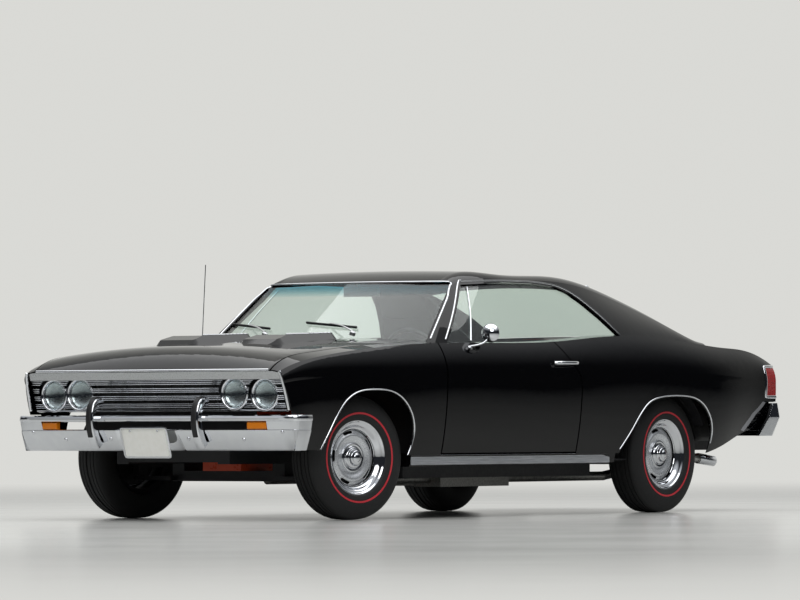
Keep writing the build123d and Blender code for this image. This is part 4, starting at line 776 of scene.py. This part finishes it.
# wipers laid on the glass
wiper = {
    "pivots": ((1016, 330), (1016, -270)), "pivotZ": 1004, "bossLift": 4, "bossLean": 70, "armLift": 14,
    "reach": (-60, -420), "steps": 10, "z": 1032, "climb": 5 / 60, "bladeLift": 12, "joinLift": 9,
    "bend": 0.45, "bendLift": (6, 0, 10), "armOut": (0.5, 0, 0.85),
    "armSection": [(-5, -1.5), (-4, 2), (4, 2), (5, -1.5)],
    "bladeSection": [(-4, -9), (-4.5, 0), (-2.5, 4), (2.5, 4), (4.5, 0), (4, -9)],
    "boss": [(17, -14), (16, 4), (11, 9), (0, 11)],
}
arms, blades = bmesh.new(), bmesh.new()
for x, y in wiper["pivots"]:
    first, last = (y + reach for reach in wiper["reach"])
    starts = []
    for along in spread(first, last, wiper["steps"]):
        z = wiper["z"] + (first - along) * wiper["climb"]
        starts.append(Vector((rayStart["screen"], along * mm, z * mm)))
    points, normals = castAll(["windscreen"], starts, (-1, 0, 0))
    line = [point + normal * wiper["bladeLift"] * mm for point, normal in zip(points, normals)]
    addSweep(blades, wiper["bladeSection"], addStations(line, normals[0]))
    half = len(line) // 2
    middle = line[half] + normals[half] * wiper["joinLift"] * mm
    foot = Vector((x, y, wiper["pivotZ"] + wiper["armLift"])) * mm
    rise = foot.lerp(middle, wiper["bend"]) + Vector(wiper["bendLift"]) * mm
    line = smoothLine([foot, rise, middle])
    addSweep(arms, wiper["armSection"], addStations(line, Vector(wiper["armOut"])))
    place = Matrix.Translation(Vector((x, y, wiper["pivotZ"] + wiper["bossLift"])) * mm)
    addLathe(arms, wiper["boss"], place @ Matrix.Rotation(math.radians(wiper["bossLean"]), 4, "X"), 32)
addPiece("wiper_arms", arms, "bright_grille", stands=("wipers",), sharp=40)
addPiece("wiper_blades", blades, "black_trim", sharp=40)


# Welds a CAD node and rounds its edges over an angle, in mm and degrees.
def easeEdges(name, width, angle):
    weld = nodes[name].modifiers.new("weld", "WELD")
    weld.merge_threshold = 0.05 * mm
    bevel = nodes[name].modifiers.new("bevel", "BEVEL")
    bevel.width = width * mm
    bevel.segments = 4
    bevel.angle_limit = math.radians(angle)
    bevel.harden_normals = True


# hood with eased edges, and on its blisters a dark louvre bed with cross fins
easeEdges("hood", width=10, angle=16)
louvre = {
    "y": 285, "from": 1262, "to": 1452, "half": 78, "steps": 12,
    "fins": 7, "fin": (9, 5), "bed": 1.6, "bedLap": 4,
}
beds, fins = bmesh.new(), bmesh.new()
pitch = (louvre["to"] - louvre["from"]) / (louvre["fins"] - 1)
for side in sides.values():
    for x in spread(louvre["from"], louvre["to"], louvre["fins"] - 1):
        middle, half = side * louvre["y"], louvre["half"]
        span = spread(middle - half, middle + half, louvre["steps"])
        starts = [Vector((x * mm, y * mm, rayStart["above"])) for y in span]
        stations = addStations(*castAll(["hood"], starts, (0, 0, -1)))
        addSweep(fins, halfRound(*louvre["fin"]), stations)
        addSweep(beds, halfRound(pitch + louvre["bedLap"], louvre["bed"]), stations)
addPiece("louvre_beds", beds, "black_trim", "hood_body")
addPiece("louvre_fins", fins, "chrome", "hood_body")
print("hood inserts done")

# rear bumper rounded at its edges, bright frames round the tail lamps
easeEdges("rear_bumper", width=9, angle=12)
tailFrame = {
    "outline": [
        (-2396, 833), (-2340, 833), (-2292, 832), (-2283, 821), (-2283, 745), (-2283, 669), (-2292, 658),
        (-2340, 657), (-2396, 657),
    ],
    "width": 20, "height": 7,
}
for side in sides:
    panels = [f"quarter_{side}", "tail_panel", f"tail_lamp_{side}"]
    points = layOnSide(panels, smoothFlat(tailFrame["outline"], 4), sides[side])[0]
    addMoulding(f"tail_frame_{side}", tailFrame, points, Vector((0, sides[side], 0)))
# dark splash shields inside the rear arches
shield = {"profile": [(366, 610), (366, 800), (520, 800)], "cut": 405}
for side in sides:
    bm = bmesh.new()
    axle = joints[f"spin_rear_{side}"]["pos_m"]
    place = Matrix.Translation((axle[0], 0, axle[2])) @ sidePlace[side]
    addLathe(bm, shield["profile"], place, 96)
    bmesh.ops.bisect_plane(
        bm,
        geom=bm.verts[:] + bm.edges[:] + bm.faces[:],
        plane_co=Vector((0, 0, shield["cut"] * mm)),
        plane_no=Vector((0, 0, -1)),
        clear_outer=True,
    )
    addPiece(f"splash_shield_{side}", bm, "black_trim", wall=2)
# bright sleeves on the tailpipes
tip = {"from": (-1890, 664, 304), "to": (-2014, 691, 287), "outer": 31, "inner": 27, "ease": 2, "bore": 60}
bm = bmesh.new()
for side in sides.values():
    start, end = (Vector((x, side * y, z)) * mm for x, y, z in (tip["from"], tip["to"]))
    place = (end - start).to_track_quat("Y", "Z").to_matrix().to_4x4()
    place.translation = start
    length = (end - start).length / mm
    outer, inner, ease = tip["outer"], tip["inner"], tip["ease"]
    profile = [(outer, 0), (outer, length - ease), (outer - ease, length)]
    profile += [(inner, length - ease / 2), (inner, length - tip["bore"])]
    addLathe(bm, profile, place, 48)
addPiece("tailpipe_sleeves", bm, "chrome", sharp=50)
print("rear done")

# plate surround with two screws
plate = {
    "low": (2397.8, 340), "high": (2446.6, 494), "half": 153, "lift": 3, "corner": 12, "cornerCut": 0.012,
    "border": [(-6, 0), (-6, 3), (-4, 4.5), (3, 4.5), (4, 3), (4, 0)],
    "screw": [(6, -1), (5.5, 2), (3, 3.5), (0, 4)], "screws": (-92, 92), "screwHeight": 0.9,
}
(lowX, lowZ), (highX, highZ) = plate["low"], plate["high"]
face = Vector((highZ - lowZ, 0, lowX - highX)).normalized()


def onPlate(y, share):  # a place on the front of the plate, by share of its height
    place = Vector((lowX + share * (highX - lowX), y, lowZ + share * (highZ - lowZ)))
    return place * mm + face * plate["lift"] * mm


corners = [onPlate(y * plate["half"], share) for y, share in ((-1, 0), (1, 0), (1, 1), (-1, 1))]
line = []
for before, corner, after in zip(corners[-1:] + corners[:-1], corners, corners[1:] + corners[:1]):
    line.append(corner + (before - corner).normalized() * plate["corner"] * mm)
    line.append(corner + (before + after - 2 * corner) * plate["cornerCut"])
    line.append(corner + (after - corner).normalized() * plate["corner"] * mm)
bm = bmesh.new()
addSweep(bm, plate["border"], addStations(line, face, closed=True), closed=True)
turnPlate = face.to_track_quat("Y", "Z").to_matrix().to_4x4()
for y in plate["screws"]:
    addLathe(bm, plate["screw"], Matrix.Translation(onPlate(y, plate["screwHeight"])) @ turnPlate, 20)
addPiece("plate_surround", bm, "chrome", sharp=50)

# cabin: pleated benches, steering wheel and inner mirror
bench = {
    "front_seat": {
        "cushion": [
            (312, 555), (400, 592), (470, 594), (502, 560), (500, 420), (486, 250), (474, 150), (420, 118),
            (312, 130),
        ],
        "back": [
            (452, 112), (482, 142), (560, 104), (700, 34), (840, -44), (878, -82), (880, -130), (850, -172),
            (700, -146), (520, -92), (440, -60),
        ],
        "half": 690,
    },
    "rear_seat": {
        "cushion": [
            (312, -330), (440, -302), (500, -300), (524, -330), (518, -430), (500, -580), (488, -680),
            (420, -700), (312, -690),
        ],
        "back": [
            (486, -690), (510, -664), (600, -716), (740, -796), (852, -862), (882, -896), (880, -930),
            (840, -944), (700, -942), (520, -940), (470, -800),
        ],
        "half": 628,
    },
    "pitch": 58,
    "pleat": ((0.0, 0.95), (0.1, 0.972), (0.3, 0.993), (0.5, 1.0), (0.7, 0.993), (0.9, 0.972)),
    "end": ((0, 0.62), (8, 0.8), (22, 0.91), (48, 0.98), (78, 1.0), (100, 0.985)),
    "endRun": 110,
}
for name in ("front_seat", "rear_seat"):
    form = bench[name]
    for key in ("cushion", "back"):
        section = smoothFlat(form[key] + form[key][:1], 4)[:-1]
        midZ, midX = (sum(values) / len(section) for values in zip(*section))
        inner = form["half"] - bench["endRun"]
        pleats = round(2 * inner / bench["pitch"])
        run = [(-form["half"] + y, s) for y, s in bench["end"]]
        for k in range(pleats):
            run += [(-inner + 2 * inner * (k + at) / pleats, s) for at, s in bench["pleat"]]
        run += [(inner, bench["pleat"][0][1])] + [(form["half"] - y, s) for y, s in reversed(bench["end"])]
        stations = []
        for y, s in run:
            place = Matrix.Translation(Vector((midX, y, midZ)) * mm)
            stations.append(place @ crossTurn @ Matrix.Diagonal((s, s, 1, 1)))
        bm = bmesh.new()
        addSweep(bm, [(z - midZ, x - midX) for z, x in section], stations)
        stands = (name,) if key == "back" else ()
        pad = addPiece(f"{name}_{key}", bm, "black_vinyl", stands=stands, sharp=180)
helm = {
    "place": (500, 380, 850), "foot": (1000, 380, 640), "radius": 191, "grip": 11, "gripSteps": 14,
    "spokes": (0, 180, 270), "spoke": [(-13, -3), (-13, 2), (-9, 4), (9, 4), (13, 2), (13, -3)],
    "spokeLine": ((36, -8), (80, -9), (140, -4), (189, -1)),
    "hub": [(30, -40), (40, -26), (46, -12), (46, 2), (40, 8)],
    "horn": [(40, 4), (39, 9), (30, 14), (16, 17), (0, 18)],
}
axis = (Vector(helm["place"]) - Vector(helm["foot"])).normalized()
place = Matrix((Vector((0, 1, 0)), axis, Vector((0, 1, 0)).cross(axis))).transposed().to_4x4()
place.translation = Vector(helm["place"]) * mm
bm = bmesh.new()
around = spread(0, 2 * math.pi, helm["gripSteps"])
grip = [(helm["radius"] + helm["grip"] * math.cos(a), helm["grip"] * math.sin(a)) for a in around]
addLathe(bm, grip, place, 96)
addLathe(bm, helm["hub"], place, 40)
addPiece("helm_rim", bm, "black_trim", stands=("steering_wheel",), sharp=50)
bm = bmesh.new()
for degrees in helm["spokes"]:
    a = math.radians(degrees)
    ray = Vector((math.cos(a), 0, math.sin(a)))
    line = [place @ ((ray * radius + Vector((0, dish, 0))) * mm) for radius, dish in helm["spokeLine"]]
    addSweep(bm, helm["spoke"], addStations(line, axis))
addLathe(bm, helm["horn"], place, 40)
addPiece("helm_spokes", bm, "bright_grille", bevel=1)
cabinMirror = {
    "place": (470, -10, 1243), "half": (9, 118, 27),
    "arm": [(520, 0, 1290), (505, -4, 1268), (484, -10, 1250)], "armSection": fullRound(5, 5, 8),
}
bm = bmesh.new()
shell = bmesh.ops.create_cube(bm, size=2 * mm)["verts"]
bmesh.ops.scale(bm, vec=Vector(cabinMirror["half"]), verts=shell)
bmesh.ops.translate(bm, vec=Vector(cabinMirror["place"]) * mm, verts=shell)
line = smoothLine([[c * mm for c in p] for p in cabinMirror["arm"]])
addSweep(bm, cabinMirror["armSection"], addStations(line, Vector((0, 1, 0))))
addPiece("inner_mirror", bm, "bright_grille", bevel=8)
print("cabin done")

# light, floor and camera
stage = {
    "floor": 60, "pale": "e4e4e0", "strength": 0.9, "fade": (7.0, 20.0),
    "dim": "26282c", "ceiling": "d3d6da", "ceilingRise": (0.25, 0.7),
    "wallSide": (-0.81, -0.586, 0.0), "lobe": (0.45, 0.8), "soft": "e9edf2", "softStrength": 0.5,
}


def addRange(tree, value, span, **attributes):  # 0 to 1 over a span
    ends = {"Value": value, "From Min": span[0], "From Max": span[1]}
    return addNode(tree, "MapRange", ends, **attributes).outputs["Result"]


def addTones(tree, share, first, second):  # mix of two colours
    return addNode(tree, "MixRGB", {"Fac": share, "Color1": first, "Color2": second}).outputs[0]


def seenRays(tree):  # 1 for what the eye, a mirror or a pane looks at, 0 for light that falls on things
    rays = addNode(tree, "LightPath").outputs
    seen = rays["Is Camera Ray"]
    for kind in ("Is Glossy Ray", "Is Transmission Ray"):
        seen = addNode(tree, "Math", {0: seen, 1: rays[kind]}, operation="MAXIMUM").outputs[0]
    return seen


bm = bmesh.new()
bmesh.ops.create_grid(bm, x_segments=1, y_segments=1, size=stage["floor"])
mesh = bpy.data.meshes.new("floor")
bm.to_mesh(mesh)
bm.free()
floor = bpy.data.objects.new("floor", mesh)
bpy.context.scene.collection.objects.link(floor)
# sealed pale floor that fades into the backdrop, and in mirrors into the dim hall on its side
sealed = makeFinish("SealedPaleFloor", "c1c1bd", "bebeba", 900, (0.19, 0.23), 0.01)
tree = sealed.node_tree
surface = next(node for node in tree.nodes if node.type == "BSDF_PRINCIPLED")
spot = addNode(tree, "TexCoord").outputs["Object"]
reach = addNode(tree, "VectorMath", {0: spot}, operation="LENGTH").outputs["Value"]
far = addRange(tree, reach, stage["fade"], interpolation_type="SMOOTHSTEP")
share = addNode(tree, "Math", {0: far, 1: seenRays(tree)}, operation="MULTIPLY").outputs[0]
wall = addNode(tree, "VectorMath", {0: spot, 1: stage["wallSide"]}, operation="DOT_PRODUCT").outputs["Value"]
wall = addNode(tree, "Math", {0: wall, 1: reach}, operation="DIVIDE").outputs[0]
wall = addRange(tree, wall, stage["lobe"])
eye = addNode(tree, "LightPath").outputs["Is Camera Ray"]
wall = addNode(tree, "Math", {0: wall, 1: eye}, operation="MAXIMUM").outputs[0]
tone = addTones(tree, wall, linear(stage["dim"]), linear(stage["pale"]))
glow = addNode(tree, "Emission", {"Color": tone, "Strength": stage["strength"]})
blend = addNode(tree, "MixShader", {0: share, 1: surface.outputs["BSDF"], 2: glow.outputs["Emission"]})
output = next(node for node in tree.nodes if node.type == "OUTPUT_MATERIAL")
tree.links.new(blend.outputs["Shader"], output.inputs["Surface"])
mesh.materials.append(sealed)

# the room: a pale wall behind the car, a dim hall on the other side, even light from all round
world = bpy.data.worlds.new("studio")
bpy.context.scene.world = world
world.use_nodes = True
sky = world.node_tree
sky.nodes.clear()
toward = addNode(sky, "TexCoord").outputs["Generated"]
wall = addNode(sky, "VectorMath", {0: toward, 1: stage["wallSide"]}, operation="DOT_PRODUCT").outputs["Value"]
behind = addRange(sky, wall, stage["lobe"], interpolation_type="SMOOTHSTEP")
up = addNode(sky, "SeparateXYZ", {"Vector": toward}).outputs["Z"]
above = addRange(sky, up, stage["ceilingRise"], interpolation_type="SMOOTHSTEP")
hall = addTones(sky, above, linear(stage["dim"]), linear(stage["ceiling"]))
room = addTones(sky, behind, hall, linear(stage["pale"]))
eye = addNode(sky, "LightPath").outputs["Is Camera Ray"]
view = addTones(sky, eye, room, linear(stage["pale"]))
soft = addNode(sky, "Background", {"Color": linear(stage["soft"]), "Strength": stage["softStrength"]})
pale = addNode(sky, "Background", {"Color": view, "Strength": stage["strength"]})
backdrop = addNode(sky, "MixShader", {0: seenRays(sky), 1: soft.outputs[0], 2: pale.outputs[0]})
addNode(sky, "OutputWorld", {"Surface": backdrop.outputs[0]})


def addLamp(name, place, aim, size, power):
    light = bpy.data.lights.new(name, "AREA")
    light.shape = "RECTANGLE"
    light.size, light.size_y = size
    light.energy = power
    source = bpy.data.objects.new(name, light)
    source.location = place
    source.rotation_euler = (Vector(aim) - Vector(place)).to_track_quat("-Z", "Y").to_euler()
    bpy.context.scene.collection.objects.link(source)


addLamp("overhead", place=(0.3, 0.3, 6.5), aim=(0, 0, 0), size=(13, 9), power=560)
addLamp("front_side", place=(7.5, 4, 5), aim=(1.0, 0, 0.5), size=(6, 4), power=200)

camera = {
    "place": (29.961, 21.607, 0.542), "yaw": 215.907, "pitch": 0.991, "roll": -0.0034,
    "lens": 296.5, "sensor": 36.0, "shift": 0.0051, "clip": 200.0,
}
lens = bpy.data.cameras.new("photo_view")
lens.lens = camera["lens"]
lens.sensor_width = camera["sensor"]
lens.shift_y = camera["shift"]
lens.clip_end = camera["clip"]
viewer = bpy.data.objects.new("photo_view", lens)
yaw, pitch = math.radians(camera["yaw"]), math.radians(camera["pitch"])
ahead = Vector((math.cos(pitch) * math.cos(yaw), math.cos(pitch) * math.sin(yaw), math.sin(pitch)))
turn = ahead.to_track_quat("-Z", "Y").to_matrix().to_4x4() @ Matrix.Rotation(camera["roll"], 4, "Z")
viewer.matrix_world = Matrix.Translation(Vector(camera["place"])) @ turn
bpy.context.scene.collection.objects.link(viewer)
bpy.context.scene.camera = viewer
bpy.context.scene.view_settings.view_transform = "Standard"
print("light and camera done")
